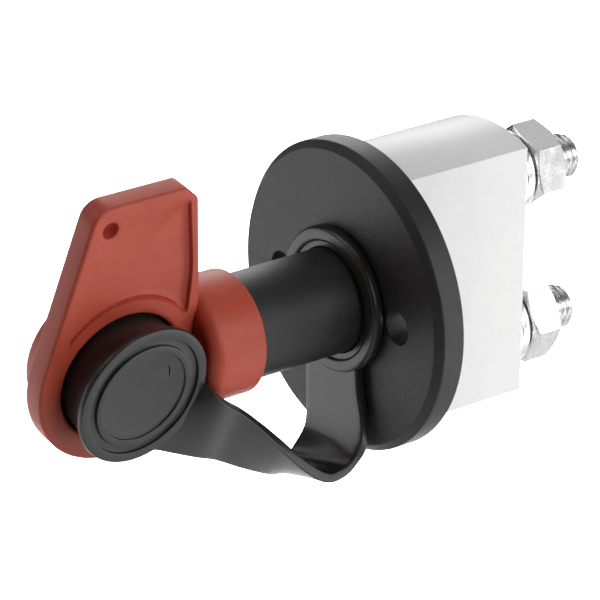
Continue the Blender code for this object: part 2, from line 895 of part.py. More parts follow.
def make_strap():
    sections = strap_sections()
    split = STRAP_SPLIT * STRAP_STEPS
    front = loft("strap_front", sections[: split + 1], RUBBER)
    rear = sections[split:]
    share = GAP / (Vector(rear[0][0]) - Vector(rear[1][0])).length
    rear[0] = [near.lerp(far, share) for near, far in zip(rear[0], rear[1])]
    rear = loft("strap_rear", rear, RUBBER)
    disc = cylinder(
        "disc_space",
        CAP_RADIUS + GAP,
        (0, 0, 0),
        30.0 * MM,
        axis="X",
        parent=CAP_POSE,
        sides=MEDIUM_ROUND,
    )
    cut(front, disc)
    ring = cylinder("ring_space", RING_RADIUS + GAP, (0, -20.0 * MM, 0), 30.0 * MM, sides=MEDIUM_ROUND)
    cut(rear, ring)


def make_circlip():
    """An internal retaining ring in the neck, open at one side."""
    front = CIRCLIP_Y - CIRCLIP_THICKNESS / 2
    back = CIRCLIP_Y + CIRCLIP_THICKNESS / 2
    ring = turned(
        "spindle_circlip",
        [(7.2 * MM, back), (9.6 * MM, back), (9.6 * MM, front), (7.2 * MM, front)],
        STEEL,
        steps=32,
    )
    opening = box(
        "circlip_opening",
        (-1.6 * MM, front - 1.0 * MM, -12.0 * MM),
        (1.6 * MM, back + 1.0 * MM, -5.0 * MM),
    )
    return cut(ring, opening)


def make_spindle():
    """The part that the key turns: a socket at the front, a journal and a cam bar at the back."""
    root = SEAL_RADIUS - SEAL_SECTION - GAP
    half = SEAL_SECTION + GAP
    spindle = turned(
        "spindle",
        [
            (0.0, JOURNAL_BACK),
            (JOURNAL_RADIUS, JOURNAL_BACK),
            (JOURNAL_RADIUS, BARREL_BACK),
            (BARREL_RADIUS, BARREL_BACK),
            (BARREL_RADIUS, SEAL_Y + half),
            (root, SEAL_Y + half),
            (root, SEAL_Y - half),
            (BARREL_RADIUS, SEAL_Y - half),
            (BARREL_RADIUS, BARREL_FRONT),
            (0.0, BARREL_FRONT),
        ],
        CREAM,
        parent=KEY_POSE,
    )
    bar = box(
        "cam_bar",
        (-CAM_BAR_HALF_LENGTH, JOURNAL_BACK - 1.0 * MM, -CAM_BAR_HALF_WIDTH),
        (CAM_BAR_HALF_LENGTH, CAM_BAR_BACK, CAM_BAR_HALF_WIDTH),
        parent=KEY_POSE,
    )
    join(spindle, bar)
    hole = SHAFT_HALF_WIDTH + SOCKET_CLEARANCE
    socket = box(
        "socket",
        (-hole, BARREL_FRONT - 2.0 * MM, -hole),
        (hole, SOCKET_END, hole),
        parent=KEY_POSE,
    )
    return cut(spindle, socket)


def make_seal():
    bpy.ops.mesh.primitive_torus_add(
        major_radius=SEAL_RADIUS,
        minor_radius=SEAL_SECTION,
        major_segments=32,
        minor_segments=8,
        location=(0, SEAL_Y, 0),
        rotation=(math.pi / 2, 0, 0),
    )
    ring = bpy.context.object
    ring.name = "spindle_seal"
    ring.data.materials.append(RUBBER)
    for collection in list(ring.users_collection):
        collection.objects.unlink(ring)
    PARTS.objects.link(ring)
    return ring


def make_ramp(name, first_angle):
    """A sector whose front climbs towards -Y, so that the turning cam bar drives the carrier back."""
    climb = CONTACT_TRAVEL / (math.pi / 2)
    low_angle, high_angle = math.radians(-25), math.radians(115)
    sections = []
    steps = 14
    for n in range(steps + 1):
        angle = low_angle + (high_angle - low_angle) * n / steps
        front = CAM_BAR_BACK + RAMP_GAP - climb * angle
        turn = angle + first_angle
        section = []
        for radius, height in (
            (RAMP_INNER, front),
            (RAMP_OUTER, front),
            (RAMP_OUTER, CARRIER_FRONT + 1.0 * MM),
            (RAMP_INNER, CARRIER_FRONT + 1.0 * MM),
        ):
            section.append((radius * math.cos(turn), height, -radius * math.sin(turn)))
        sections.append(section)
    return loft(name, sections, None, KEY_POSE)


def make_carrier():
    carrier = box(
        "bridge_carrier",
        (-CARRIER_HALF_WIDTH, CARRIER_FRONT, -CARRIER_HALF_HEIGHT),
        (CARRIER_HALF_WIDTH, CARRIER_BACK, CARRIER_HALF_HEIGHT),
        CREAM,
    )
    bevel(carrier, 0.6 * MM, 1)
    spigot = cylinder(
        "spigot",
        SPIGOT_RADIUS,
        (0, CARRIER_BACK - 1.0 * MM, 0),
        SPIGOT_BACK - CARRIER_BACK + 1.0 * MM,
        sides=20,
    )
    join(carrier, spigot, make_ramp("ramp_a", 0.0), make_ramp("ramp_b", math.pi))
    for side, x in (("left", -POST_X), ("right", POST_X)):
        guide = cylinder(
            "guide_" + side, POST_RADIUS + 0.4 * MM, (x, 0, 0), 30.0 * MM, sides=16
        )
        cut(carrier, guide)
    return carrier


def make_bridge():
    bridge = box(
        "contact_bridge",
        (-BAR_HALF_WIDTH, BAR_FRONT, -BAR_HALF_LENGTH),
        (BAR_HALF_WIDTH, BAR_BACK, BAR_HALF_LENGTH),
        COPPER,
    )
    bevel(bridge, 0.4 * MM, 1)
    hole = cylinder(
        "bridge_hole", SPIGOT_RADIUS + GAP, (0, BAR_FRONT - 1.0 * MM, 0), 6.0 * MM, sides=20
    )
    cut(bridge, hole)
    for side, z in (("upper", STUD_Z), ("lower", -STUD_Z)):
        front = BAR_BACK + GAP
        turned(
            side + "_contact_tip",
            [
                (0.0, TIP_BACK),
                (TIP_RADIUS - 0.4 * MM, TIP_BACK),
                (TIP_RADIUS, TIP_BACK - 0.4 * MM),
                (TIP_RADIUS, front),
                (0.0, front),
            ],
            SILVER,
            at=(0, 0, z),
            steps=24,
        )
    return bridge


def make_spring():
    """The compression spring that returns the moving contact."""
    front = BAR_BACK + GAP + SPRING_WIRE
    back = HOUSING_BACK - HOUSING_WALL - GAP - SPRING_WIRE
    points_per_turn = 12
    count = SPRING_TURNS * points_per_turn
    curve = bpy.data.curves.new("contact_spring", "CURVE")
    curve.dimensions = "3D"
    curve.bevel_depth = SPRING_WIRE
    curve.bevel_resolution = 1
    curve.use_fill_caps = True
    spline = curve.splines.new("POLY")
    spline.points.add(count)
    for n, point in enumerate(spline.points):
        angle = 2 * math.pi * n / points_per_turn
        y = front + (back - front) * n / count
        point.co = (SPRING_RADIUS * math.cos(angle), y, SPRING_RADIUS * math.sin(angle), 1.0)
    spring = bpy.data.objects.new("contact_spring", curve)
    curve.materials.append(STEEL)
    PARTS.objects.link(spring)
    return spring


def shade_round_pieces():
    for obj in PARTS.objects:
        if obj.type == "MESH" and obj.data.polygons:
            obj.data.shade_smooth()
            obj.data.set_sharp_from_angle(angle=math.radians(35))


def make_all():
    make_flange_body()
    make_rear_housing()
    make_gasket()
    make_housing_screw("left_housing_screw", -POST_X)
    make_housing_screw("right_housing_screw", POST_X)
    make_terminal("upper", STUD_Z)
    make_terminal("lower", -STUD_Z)
    make_circlip()
    make_spindle()
    make_seal()
    make_carrier()
    make_bridge()
    make_spring()
    make_key_handle()
    make_key_shaft()
    make_cap()
    make_neck_ring()
    make_strap()
    shade_round_pieces()


make_all()
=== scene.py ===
import math

import bmesh
import bpy
import numpy as np
from mathutils import Matrix, Vector
from mathutils.geometry import delaunay_2d_cdt


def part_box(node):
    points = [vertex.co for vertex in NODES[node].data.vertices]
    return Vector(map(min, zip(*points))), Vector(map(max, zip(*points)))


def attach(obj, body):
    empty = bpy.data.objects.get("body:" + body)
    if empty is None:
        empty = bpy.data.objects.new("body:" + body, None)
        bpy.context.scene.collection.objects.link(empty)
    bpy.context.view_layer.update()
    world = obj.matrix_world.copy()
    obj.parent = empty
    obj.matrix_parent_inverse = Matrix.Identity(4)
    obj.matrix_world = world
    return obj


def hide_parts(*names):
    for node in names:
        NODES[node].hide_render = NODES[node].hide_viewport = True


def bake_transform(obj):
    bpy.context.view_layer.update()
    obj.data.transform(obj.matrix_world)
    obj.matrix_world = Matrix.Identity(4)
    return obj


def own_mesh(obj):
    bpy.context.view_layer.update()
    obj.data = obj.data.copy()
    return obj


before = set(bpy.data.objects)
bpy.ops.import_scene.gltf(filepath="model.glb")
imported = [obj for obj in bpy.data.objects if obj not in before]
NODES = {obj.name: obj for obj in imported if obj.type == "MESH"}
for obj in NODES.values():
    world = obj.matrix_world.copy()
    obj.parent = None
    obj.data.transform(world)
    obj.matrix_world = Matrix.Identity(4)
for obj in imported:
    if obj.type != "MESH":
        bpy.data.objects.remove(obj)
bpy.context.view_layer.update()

MM = 0.001

# Sizes and places in millimetres, as the CAD has them. The main axis is Y, from the key to the studs.
FLANGE_RADIUS, FLANGE_FRONT = 34.0, -6.7
NECK_RADIUS, NECK_BORE, NECK_FRONT = 11.4, 9.0, -41.0
HOLE_X, HOLE_RADIUS = 20.0, 3.5
HOUSING_RADIUS, HOUSING_HALF, HOUSING_FRONT, HOUSING_BACK = 30.7, 12.0, 1.4, 34.7
HOUSING_WALL, STUD_HOLE_RADIUS = 2.5, 5.4
SCREW_X, SCREW_TOP = 7.3, 36.8
STUD_Z, STUD_START, STUD_END, STUD_RADIUS = 18.0, 32.2, 56.1, 4.95
THREAD_PITCH, THREAD_DEPTH = 1.5, 0.92
WASHER_BORE, WASHER_RADIUS, WASHER_FRONT, WASHER_BACK = 5.4, 10.0, 35.0, 37.0
LOCK_RADIUS, LOCK_FRONT, LOCK_THICKNESS, LOCK_RISE = 9.05, 37.3, 2.2, 1.2
NUT_FRONT, NUT_HEIGHT, NUT_ACROSS, NUT_BORE, NUT_MOUTH = 41.0, 7.9, 17.0, 5.02, 6.6
PLATE_FRONT, PLATE_BACK, PLATE_TOP = 4.2, -1.2, 41.4
FRONT_EDGE, BACK_EDGE = 0.75, 0.6
EYE_RADIUS, MOUTH_RADIUS, POCKET_RADIUS, POCKET_FLOOR = 19.7, 14.95, 14.4, -6.3
BOSS_FOOT, BOSS_RADIUS, BOSS_BACK = 16.5, 15.6, -8.2
RECESS_RADIUS, RECESS_TOP = 17.75, 39.4
LANYARD, LANYARD_RADIUS, LANYARD_MOUTH = Vector((-71.6, 36.2)), 1.82, 2.1
HUB_RADIUS, HUB_FRONT, HUB_BACK = 13.35, -48.3, -35.1
PIN_Y, PIN_RADIUS, SHAFT_HALF, SHAFT_HOLE_Y = -44.3, 1.5, 3.4, -42.6
CAP_FACE, CAP_RADIUS, SKIRT_RADIUS, SKIRT_BORE, SKIRT_END = 12.0, 15.65, 13.75, 11.65, -5.3
STRAP_HALF_THICKNESS, STRAP_EDGE_RADIUS, STRAP_END_RADIUS = 1.1, 0.45, 13.9
RING_BORE, RING_RADIUS, RING_BACK, RING_FRONT, WEB_FRONT = 11.6, 16.1, -7.0, -9.5, -8.9

# The key's own directions: along the main axis, up its plate and out of its plate. A place on
# the key is written (y, m, h) in these three.
KEY_ANGLE = math.radians(10.5)
KEY_ALONG = Vector((0, 1, 0))
KEY_UP = Vector((math.sin(KEY_ANGLE), 0, math.cos(KEY_ANGLE)))
KEY_OUT = Vector((math.cos(KEY_ANGLE), 0, -math.sin(KEY_ANGLE)))
EYE = Vector((0, -65.0, 0))

# The parked cap leans a little in the key's eye.
CAP_CENTRE = EYE + Vector((0, -0.15, 0))
CAP_OUT = (KEY_OUT + KEY_ALONG * 0.0375 - KEY_UP * 0.0314).normalized()
CAP_ALONG = (KEY_ALONG - CAP_OUT * KEY_ALONG.dot(CAP_OUT)).normalized()
CAP_UP = CAP_OUT.cross(CAP_ALONG)


# ---------------------------------------------------------------- shapes

def tidy(bm):
    """Welds patches that share an edge, and turns every face outwards."""
    bmesh.ops.remove_doubles(bm, verts=bm.verts, dist=1e-6)
    bmesh.ops.recalc_face_normals(bm, faces=bm.faces)


def shade(mesh, sharp):
    """Smooth shading, except at edges over the sharp angle in degrees."""
    mesh.shade_smooth()
    mesh.set_sharp_from_angle(angle=math.radians(sharp))


def piece(name, bm, material, sharp=40):
    """A new object from a mesh in metres."""
    mesh = bpy.data.meshes.new(name)
    bm.to_mesh(mesh)
    bm.free()
    shade(mesh, sharp)
    mesh.materials.append(material)
    obj = bpy.data.objects.new(name, mesh)
    bpy.context.scene.collection.objects.link(obj)
    return obj


def stand_for(obj, body, node):
    """Rides on a body, and shows in place of the CAD's node."""
    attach(obj, body)
    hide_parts(node)


def rounded(points, closed=False, steps=5):
    """A polyline in which each (x, y, radius) corner is a tangent arc."""
    result = []
    count = len(points)
    for n, (x, y, radius) in enumerate(points):
        corner = Vector((x, y))
        if radius <= 0 or (not closed and n in (0, count - 1)):
            result.append((x, y))
            continue
        before = Vector(points[n - 1][:2]) - corner
        after = Vector(points[(n + 1) % count][:2]) - corner
        half = before.angle(after) / 2
        reach = min(radius / math.tan(half), before.length * 0.49, after.length * 0.49)
        start = corner + before.normalized() * reach
        end = corner + after.normalized() * reach
        arc_radius = reach * math.tan(half)
        middle = corner + (before.normalized() + after.normalized()).normalized() * (
            arc_radius / math.sin(half)
        )
        first, last = start - middle, end - middle
        sweep = first.angle_signed(last)
        for step in range(steps + 1):
            turned = first.copy()
            turned.rotate(Matrix.Rotation(-sweep * step / steps, 2))
            result.append(tuple(middle + turned))
    return result


def along_y(radius, height, angle):
    """A place round the main axis."""
    return Vector((radius * math.cos(angle), height, radius * math.sin(angle)))


def key_point(y, m, h):
    """A point of the key, from its place along the axis, up the plate and out of the plate."""
    return KEY_ALONG * y + KEY_UP * m + KEY_OUT * h


def about_eye(radius, height, angle):
    return key_point(EYE.y + radius * math.cos(angle), radius * math.sin(angle), height)


def about_cap(radius, height, angle):
    across = CAP_ALONG * radius * math.cos(angle) + CAP_UP * radius * math.sin(angle)
    return CAP_CENTRE + across + CAP_OUT * height


def about_hub(radius, height, angle):
    return key_point(height, radius * math.cos(angle), radius * math.sin(angle))


def about_pin(radius, height, angle):
    """Round the cross pin's axis, which runs up the key's plate through its hub."""
    return key_point(PIN_Y + radius * math.cos(angle), height, radius * math.sin(angle))


def turn(bm, profile, place, steps, closed=True, offset=(0, 0, 0)):
    """A turned surface. A radius of 0 is one point; a closed profile joins its last point to its first."""
    rings = []
    shift = Vector(offset)
    for radius, height in profile:
        if radius < 1e-6:
            rings.append([bm.verts.new((place(0, height, 0) + shift) * MM)])
            continue
        rings.append(
            [
                bm.verts.new((place(radius, height, 2 * math.pi * n / steps) + shift) * MM)
                for n in range(steps)
            ]
        )
    pairs = list(zip(rings, rings[1:]))
    if closed and len(rings[0]) > 1 and len(rings[-1]) > 1:
        pairs.append((rings[-1], rings[0]))
    for a, b in pairs:
        for n in range(steps):
            m = (n + 1) % steps
            if len(a) == 1 and len(b) == 1:
                continue
            if len(a) == 1:
                bm.faces.new((a[0], b[m], b[n]))
            elif len(b) == 1:
                bm.faces.new((a[n], a[m], b[0]))
            else:
                bm.faces.new((a[n], a[m], b[m], b[n]))


def turned(name, profile, material, place=along_y, steps=144, offset=(0, 0, 0), sharp=40):
    bm = bmesh.new()
    turn(bm, profile, place, steps, offset=offset)
    tidy(bm)
    return piece(name, bm, material, sharp)


def skin(bm, rings, ends=False):
    """Faces between successive rings of the same number of points, and over both ends if asked."""
    for a, b in zip(rings, rings[1:]):
        for n in range(len(a)):
            m = (n + 1) % len(a)
            bm.faces.new((a[n], a[m], b[m], b[n]))
    if ends:
        bm.faces.new(rings[0])
        bm.faces.new(rings[-1])


def fan(bm, ring, tip):
    """Triangles from each step of a ring to one point."""
    for n in range(len(ring)):
        bm.faces.new((ring[n], ring[(n + 1) % len(ring)], tip))


def ring_at(bm, radius, height, steps, z=0.0, start=0.0):
    """A ring of points round the line at this z, parallel to the main axis."""
    ring = []
    for n in range(steps):
        place = along_y(radius, height, start + 2 * math.pi * n / steps)
        ring.append(bm.verts.new((place + Vector((0, 0, z))) * MM))
    return ring


def block(name, size, place, material, turned_by=0.0):
    """A block turned about Y, for cutting."""
    bm = bmesh.new()
    bmesh.ops.create_cube(bm, size=1.0)
    bmesh.ops.scale(bm, vec=[side * MM for side in size], verts=bm.verts)
    bmesh.ops.rotate(bm, matrix=Matrix.Rotation(turned_by, 3, "Y"), verts=bm.verts)
    bmesh.ops.translate(bm, vec=[along * MM for along in place], verts=bm.verts)
    return piece(name, bm, material)


def apply_modifiers(obj):
    graph = bpy.context.evaluated_depsgraph_get()
    mesh = bpy.data.meshes.new_from_object(obj.evaluated_get(graph))
    obj.modifiers.clear()
    obj.data = mesh


def boolean(obj, other, operation="DIFFERENCE"):
    """Applies a Boolean with another object, and removes the other."""
    modifier = obj.modifiers.new("Cut", "BOOLEAN")
    modifier.operation = operation
    modifier.object = other
    modifier.solver = "EXACT"
    apply_modifiers(obj)
    bpy.data.objects.remove(other)
    shade(obj.data, 35)


def flat_shading(obj):
    """Keeps the shading of large flat faces flat up to their rounded edges."""
    modifier = obj.modifiers.new("Normals", "WEIGHTED_NORMAL")
    modifier.keep_sharp = True
    modifier.weight = 100
    modifier.mode = "FACE_AREA"
    apply_modifiers(obj)


def soften(obj, width, angle):
    """Rounds the edges over the angle."""
    modifier = obj.modifiers.new("Edges", "BEVEL")
    modifier.width = width * MM
    modifier.segments = 2
    modifier.limit_method = "ANGLE"
    modifier.angle_limit = math.radians(angle)
    modifier.harden_normals = False
    apply_modifiers(obj)
    shade(obj.data, 50)


# ---------------------------------------------------------------- materials

class Nodes:
    """A short way to wire a material."""

    def __init__(self, name):
        self.material = bpy.data.materials.new(name)
        self.material.use_nodes = True
        self.tree = self.material.node_tree
        self.shader = self.tree.nodes["Principled BSDF"]
        coordinates = self.tree.nodes.new("ShaderNodeTexCoord")
        self.object = coordinates.outputs["Object"]

    def set(self, name, value):
        self.shader.inputs[name].default_value = value

    def link(self, output, name):
        self.tree.links.new(output, self.shader.inputs[name])

    def noise(self, scale, detail, roughness=0.5):
        """Fractal noise with the given number of features per metre."""
        node = self.tree.nodes.new("ShaderNodeTexNoise")
        node.inputs["Scale"].default_value = scale
        node.inputs["Detail"].default_value = detail
        node.inputs["Roughness"].default_value = roughness
        self.tree.links.new(self.object, node.inputs["Vector"])
        return node.outputs["Fac"]

    def ramp(self, value, low, high, low_at, high_at):
        """Maps a value from between low_at and high_at to between two numbers or two colours."""
        node = self.tree.nodes.new("ShaderNodeMapRange")
        colours = isinstance(low, tuple)
        node.inputs["From Min"].default_value = low_at
        node.inputs["From Max"].default_value = high_at
        if not colours:
            node.inputs["To Min"].default_value = low
            node.inputs["To Max"].default_value = high
        self.tree.links.new(value, node.inputs["Value"])
        if not colours:
            return node.outputs["Result"]
        mix = self.tree.nodes.new("ShaderNodeMix")
        mix.data_type = "RGBA"
        mix.inputs[6].default_value = (*low, 1)
        mix.inputs[7].default_value = (*high, 1)
        self.tree.links.new(node.outputs["Result"], mix.inputs[0])
        return mix.outputs[2]

    def add(self, a, b, weight):
        """The first value plus the second one times its weight."""
        node = self.tree.nodes.new("ShaderNodeMath")
        node.operation = "MULTIPLY_ADD"
        node.inputs[1].default_value = weight
        self.tree.links.new(b, node.inputs[0])
        self.tree.links.new(a, node.inputs[2])
        return node.outputs[0]

    def bump(self, height, distance):
        node = self.tree.nodes.new("ShaderNodeBump")
        node.inputs["Distance"].default_value = distance
        self.tree.links.new(height, node.inputs["Height"])
        self.link(node.outputs["Normal"], "Normal")


def moulded(name, low, high, roughness, grain, depth, specular=0.5):
    """A moulded plastic or rubber: fine spark texture, soft mottling and uneven gloss."""
    n = Nodes(name)
    mottle = n.noise(90, 4, 0.6)
    fine = n.noise(grain, 3, 0.6)
    n.link(n.ramp(n.add(mottle, fine, 0.8), low, high, 0.65, 1.15), "Base Color")
    n.link(n.ramp(fine, roughness - 0.07, roughness + 0.07, 0.3, 0.7), "Roughness")
    n.set("Specular IOR Level", specular)
    n.bump(n.add(fine, mottle, 0.15), depth)
    return n.material


# Each plastic has a darkest and a lightest colour, a roughness, and a grain per metre and its depth.
RED = moulded("red_plastic", (0.425, 0.058, 0.029), (0.485, 0.072, 0.038), 0.48, 3000, 0.00007, 0.4)
BLACK = moulded("black_plastic", (0.009, 0.0092, 0.0094), (0.0145, 0.0148, 0.0148), 0.46, 3200, 0.00013)
RUBBER = moulded("black_rubber", (0.0135, 0.0140, 0.0137), (0.020, 0.0205, 0.0198), 0.34, 2400, 0.00002)
WHITE = moulded("white_moulding", (0.74, 0.74, 0.74), (0.785, 0.785, 0.78), 0.42, 1500, 0.00004)
CREAM = moulded("natural_nylon", (0.52, 0.48, 0.37), (0.60, 0.56, 0.44), 0.5, 1800, 0.00003)


def plated(name, colour, low, high):
    """A bright metal with faint tool marks and uneven polish, between two roughnesses."""
    n = Nodes(name)
    cloud = n.noise(260, 3, 0.6)
    fine = n.noise(1800, 4, 0.7)
    darker = tuple(c * 0.9 for c in colour)
    n.link(n.ramp(cloud, darker, colour, 0.3, 0.65), "Base Color")
    n.link(n.ramp(n.add(fine, cloud, 0.5), low, high, 0.5, 1.0), "Roughness")
    n.set("Metallic", 1.0)
    n.bump(fine, 0.000004)
    return n.material


CHROME = plated("bright_plating", (0.82, 0.82, 0.825), 0.2, 0.33)
STEEL = plated("plain_steel", (0.55, 0.55, 0.56), 0.2, 0.38)
COPPER = plated("bare_copper", (0.80, 0.42, 0.28), 0.22, 0.4)
SILVER = plated("contact_silver", (0.86, 0.85, 0.82), 0.18, 0.3)


# ---------------------------------------------------------------- flange, neck and housing

def make_flange():
    """Flange, neck with its bore and retaining groove, and the bearing collar behind."""
    profile = rounded(
        [
            (4.9, 4.0, 0.2),
            (9.2, 4.0, 0.3),
            (9.2, 0.0, 0.3),
            (FLANGE_RADIUS, 0.0, 0.35),
            (FLANGE_RADIUS, -5.2, 0.7),
            (FLANGE_RADIUS - 1.6, FLANGE_FRONT, 0.5),
            (NECK_RADIUS, FLANGE_FRONT, 0.35),
            (NECK_RADIUS, NECK_FRONT, 0.8),
            (NECK_BORE, NECK_FRONT, 0.35),
            (NECK_BORE, NECK_FRONT + 2.0, 0.1),
            (NECK_BORE + 1.0, NECK_FRONT + 2.0, 0.1),
            (NECK_BORE + 1.0, NECK_FRONT + 3.6, 0.1),
            (NECK_BORE, NECK_FRONT + 3.6, 0.1),
            (NECK_BORE, -2.6, 0.2),
            (4.9, -2.6, 0.2),
        ],
        closed=True,
        steps=4,
    )
    flange = turned("flange_and_neck", profile, BLACK, steps=180)
    hole = [
        (0, 1.0),
        (HOLE_RADIUS + 1.0, 1.0),
        (HOLE_RADIUS, -0.25),
        (HOLE_RADIUS, FLANGE_FRONT + 0.3),
        (HOLE_RADIUS + 0.12, FLANGE_FRONT + 0.08),
        (HOLE_RADIUS + 0.4, FLANGE_FRONT - 0.08),
        (HOLE_RADIUS + 0.4, FLANGE_FRONT - 1.3),
        (0, FLANGE_FRONT - 1.3),
    ]
    for x in (-HOLE_X, HOLE_X):
        boolean(flange, turned("hole", hole, BLACK, steps=64, offset=(x, 0, 0)))
    flat_shading(flange)
    stand_for(flange, "housing", "flange_body")


def housing_outline(margin, steps=56):
    """The housing's outline in (x, z), moved inwards by the margin: two arcs joined by two flat sides."""
    radius, half = HOUSING_RADIUS - margin, HOUSING_HALF - margin
    corner = math.acos(half / radius)
    points = []
    for base in (0.0, math.pi):
        for n in range(steps + 1):
            angle = base + corner + (math.pi - 2 * corner) * n / steps
            points.append((radius * math.cos(angle), radius * math.sin(angle)))
    return points


def housing_prism(name, levels, material):
    """A solid along Y with the housing's outline. Each level is its margin and its y."""
    bm = bmesh.new()
    rings = []
    for margin, y in levels:
        rings.append([bm.verts.new(Vector((x, y, z)) * MM) for x, z in housing_outline(margin)])
    skin(bm, rings, ends=True)
    tidy(bm)
    return piece(name, bm, material)


def make_housing():
    """The housing: a round block with two flat sides, rounded at its rims, and hollow."""
    edge, steps = 0.45, 4
    levels = []
    for n in range(steps + 1):
        angle = math.pi / 2 * n / steps
        levels.append((edge * (1 - math.sin(angle)), HOUSING_FRONT + edge * (1 - math.cos(angle))))
    for n in range(steps + 1):
        angle = math.pi / 2 * n / steps
        levels.append((edge * (1 - math.cos(angle)), HOUSING_BACK - edge * (1 - math.sin(angle))))
    housing = housing_prism("housing_shell", levels, WHITE)
    inner = [(HOUSING_WALL, 0.0), (HOUSING_WALL, HOUSING_BACK - HOUSING_WALL)]
    boolean(housing, housing_prism("hollow", inner, WHITE))
    hole = [(0, 30), (STUD_HOLE_RADIUS, 30), (STUD_HOLE_RADIUS, 36), (0, 36)]
    for z in (-STUD_Z, STUD_Z):
        boolean(housing, turned("stud_hole", hole, WHITE, steps=48, offset=(0, 0, z)))
    stand_for(housing, "housing", "rear_housing")


def make_gasket():
    """The flat seal between the flange and the housing."""
    levels = [(0.5, 0.05), (0.3, 0.2), (0.3, 1.15), (0.5, 1.35)]
    gasket = housing_prism("flange_gasket", levels, RUBBER)
    boolean(gasket, housing_prism("gasket_hole", [(2.3, -1.0), (2.3, 3.0)], RUBBER))
    stand_for(gasket, "housing", "housing_gasket")


def make_screw(side, x):
    """A pan-head screw with a cross recess."""
    profile = rounded(
        [
            (0, SCREW_TOP, 0),
            (1.6, SCREW_TOP, 0.9),
            (2.7, SCREW_TOP - 1.1, 0.5),
            (2.7, SCREW_TOP - 1.8, 0.1),
            (1.2, SCREW_TOP - 1.8, 0.1),
            (1.2, 24.6, 0.1),
            (0.3, 23.2, 0.1),
            (0, 23.2, 0),
        ]
    )
    screw = turned(side + "_screw", profile, STEEL, steps=48, offset=(x, 0, 0))
    for turned_by in (0.0, math.pi / 2):
        boolean(screw, block("cross", (3.0, 1.9, 0.55), (x, SCREW_TOP, 0), STEEL, turned_by))
    stand_for(screw, "housing", side + "_housing_screw")


# ---------------------------------------------------------------- terminals

def thread_radius(height, angle):
    """The radius of a right-hand thread, with flat crests and rounded roots."""
    phase = (height / THREAD_PITCH - angle / (2 * math.pi)) % 1.0
    rise = abs(phase - 0.5) * 2
    shape = min(1.0, max(0.0, (rise - 0.12) / 0.75))
    return STUD_RADIUS - THREAD_DEPTH * (1 - shape * shape * (3 - 2 * shape) * 0.35 - shape * 0.65)


def make_stud(side, z):
    """An M10 stud with a real helical thread, and its head inside the housing."""
    bm = bmesh.new()
    steps, row_spacing = 64, 0.125
    tip_radius, core_radius, head_radius = 3.6, 4.0, 7.5
    head_back, head_front = STUD_START - 0.3, STUD_START - 5.6
    rows = []
    count = round((STUD_END - STUD_START) / row_spacing)
    for row in range(count + 1):
        height = STUD_START + (STUD_END - STUD_START) * row / count
        ring = []
        for n in range(steps):
            angle = 2 * math.pi * n / steps
            radius = thread_radius(height, angle)
            radius = min(radius, core_radius + 0.05 + STUD_END - height)
            radius = min(radius, core_radius + (height - STUD_START) * 1.5)
            ring.append(bm.verts.new((along_y(radius, height, angle) + Vector((0, 0, z))) * MM))
        rows.append(ring)
    skin(bm, rows)
    tip = ring_at(bm, tip_radius, STUD_END, steps, z)
    skin(bm, [rows[-1], tip])
    fan(bm, tip, bm.verts.new(Vector((0, STUD_END, z)) * MM))
    head = rounded([(head_radius, head_back, 0), (head_radius, head_front, 0.5), (0, head_front, 0)])
    rings = [rows[0]]
    for radius, height in [(core_radius, head_back), *head[1:-1]]:
        rings.append(ring_at(bm, radius, height, steps, z))
    skin(bm, rings)
    fan(bm, rings[-1], bm.verts.new(Vector((0, head_front, z)) * MM))
    tidy(bm)
    stand_for(piece(side + "_stud", bm, CHROME, sharp=60), "housing", side + "_terminal_stud")


def make_nut(side, z, turned_by):
    """A hexagon with its corners turned off at 30 degrees on both faces, and a countersunk bore."""
    front, back = NUT_FRONT, NUT_FRONT + NUT_HEIGHT
    corner = NUT_ACROSS / math.sqrt(3)
    bm = bmesh.new()
    start = math.radians(turned_by)
    skin(bm, [ring_at(bm, corner, height, 6, z, start) for height in (front, back)], ends=True)
    tidy(bm)
    nut = piece(side + "_nut", bm, CHROME)
    face, outer = 8.05, corner + 1.0
    depth = (outer - face) * math.tan(math.radians(30))
    sides = [(face, front), (outer, front + depth), (outer, back - depth), (face, back)]
    lathe = [(0, front), *sides, (0, back)]
    boolean(nut, turned("lathe", lathe, CHROME, steps=180, offset=(0, 0, z)), "INTERSECT")
    hole = [
        (0, front - 1),
        (NUT_MOUTH, front - 1),
        (NUT_BORE, front + 0.6),
        (NUT_BORE, back - 0.6),
        (NUT_MOUTH, back + 1),
        (0, back + 1),
    ]
    boolean(nut, turned("bore", hole, CHROME, steps=96, offset=(0, 0, z)))
    soften(nut, 0.15, 25)
    flat_shading(nut)
    stand_for(nut, "housing", side + "_terminal_nut")


def make_plain_washer(side, z):
    """A flat washer, against the housing."""
    corners = [
        (WASHER_BORE, WASHER_FRONT, 0.15),
        (WASHER_RADIUS, WASHER_FRONT, 0.3),
        (WASHER_RADIUS, WASHER_BACK, 0.35),
        (WASHER_BORE, WASHER_BACK, 0.25),
    ]
    profile = rounded(corners, closed=True, steps=4)
    plain = turned(side + "_flat_washer", profile, CHROME, steps=120, offset=(0, 0, z))
    stand_for(plain, "housing", side + "_plain_washer")


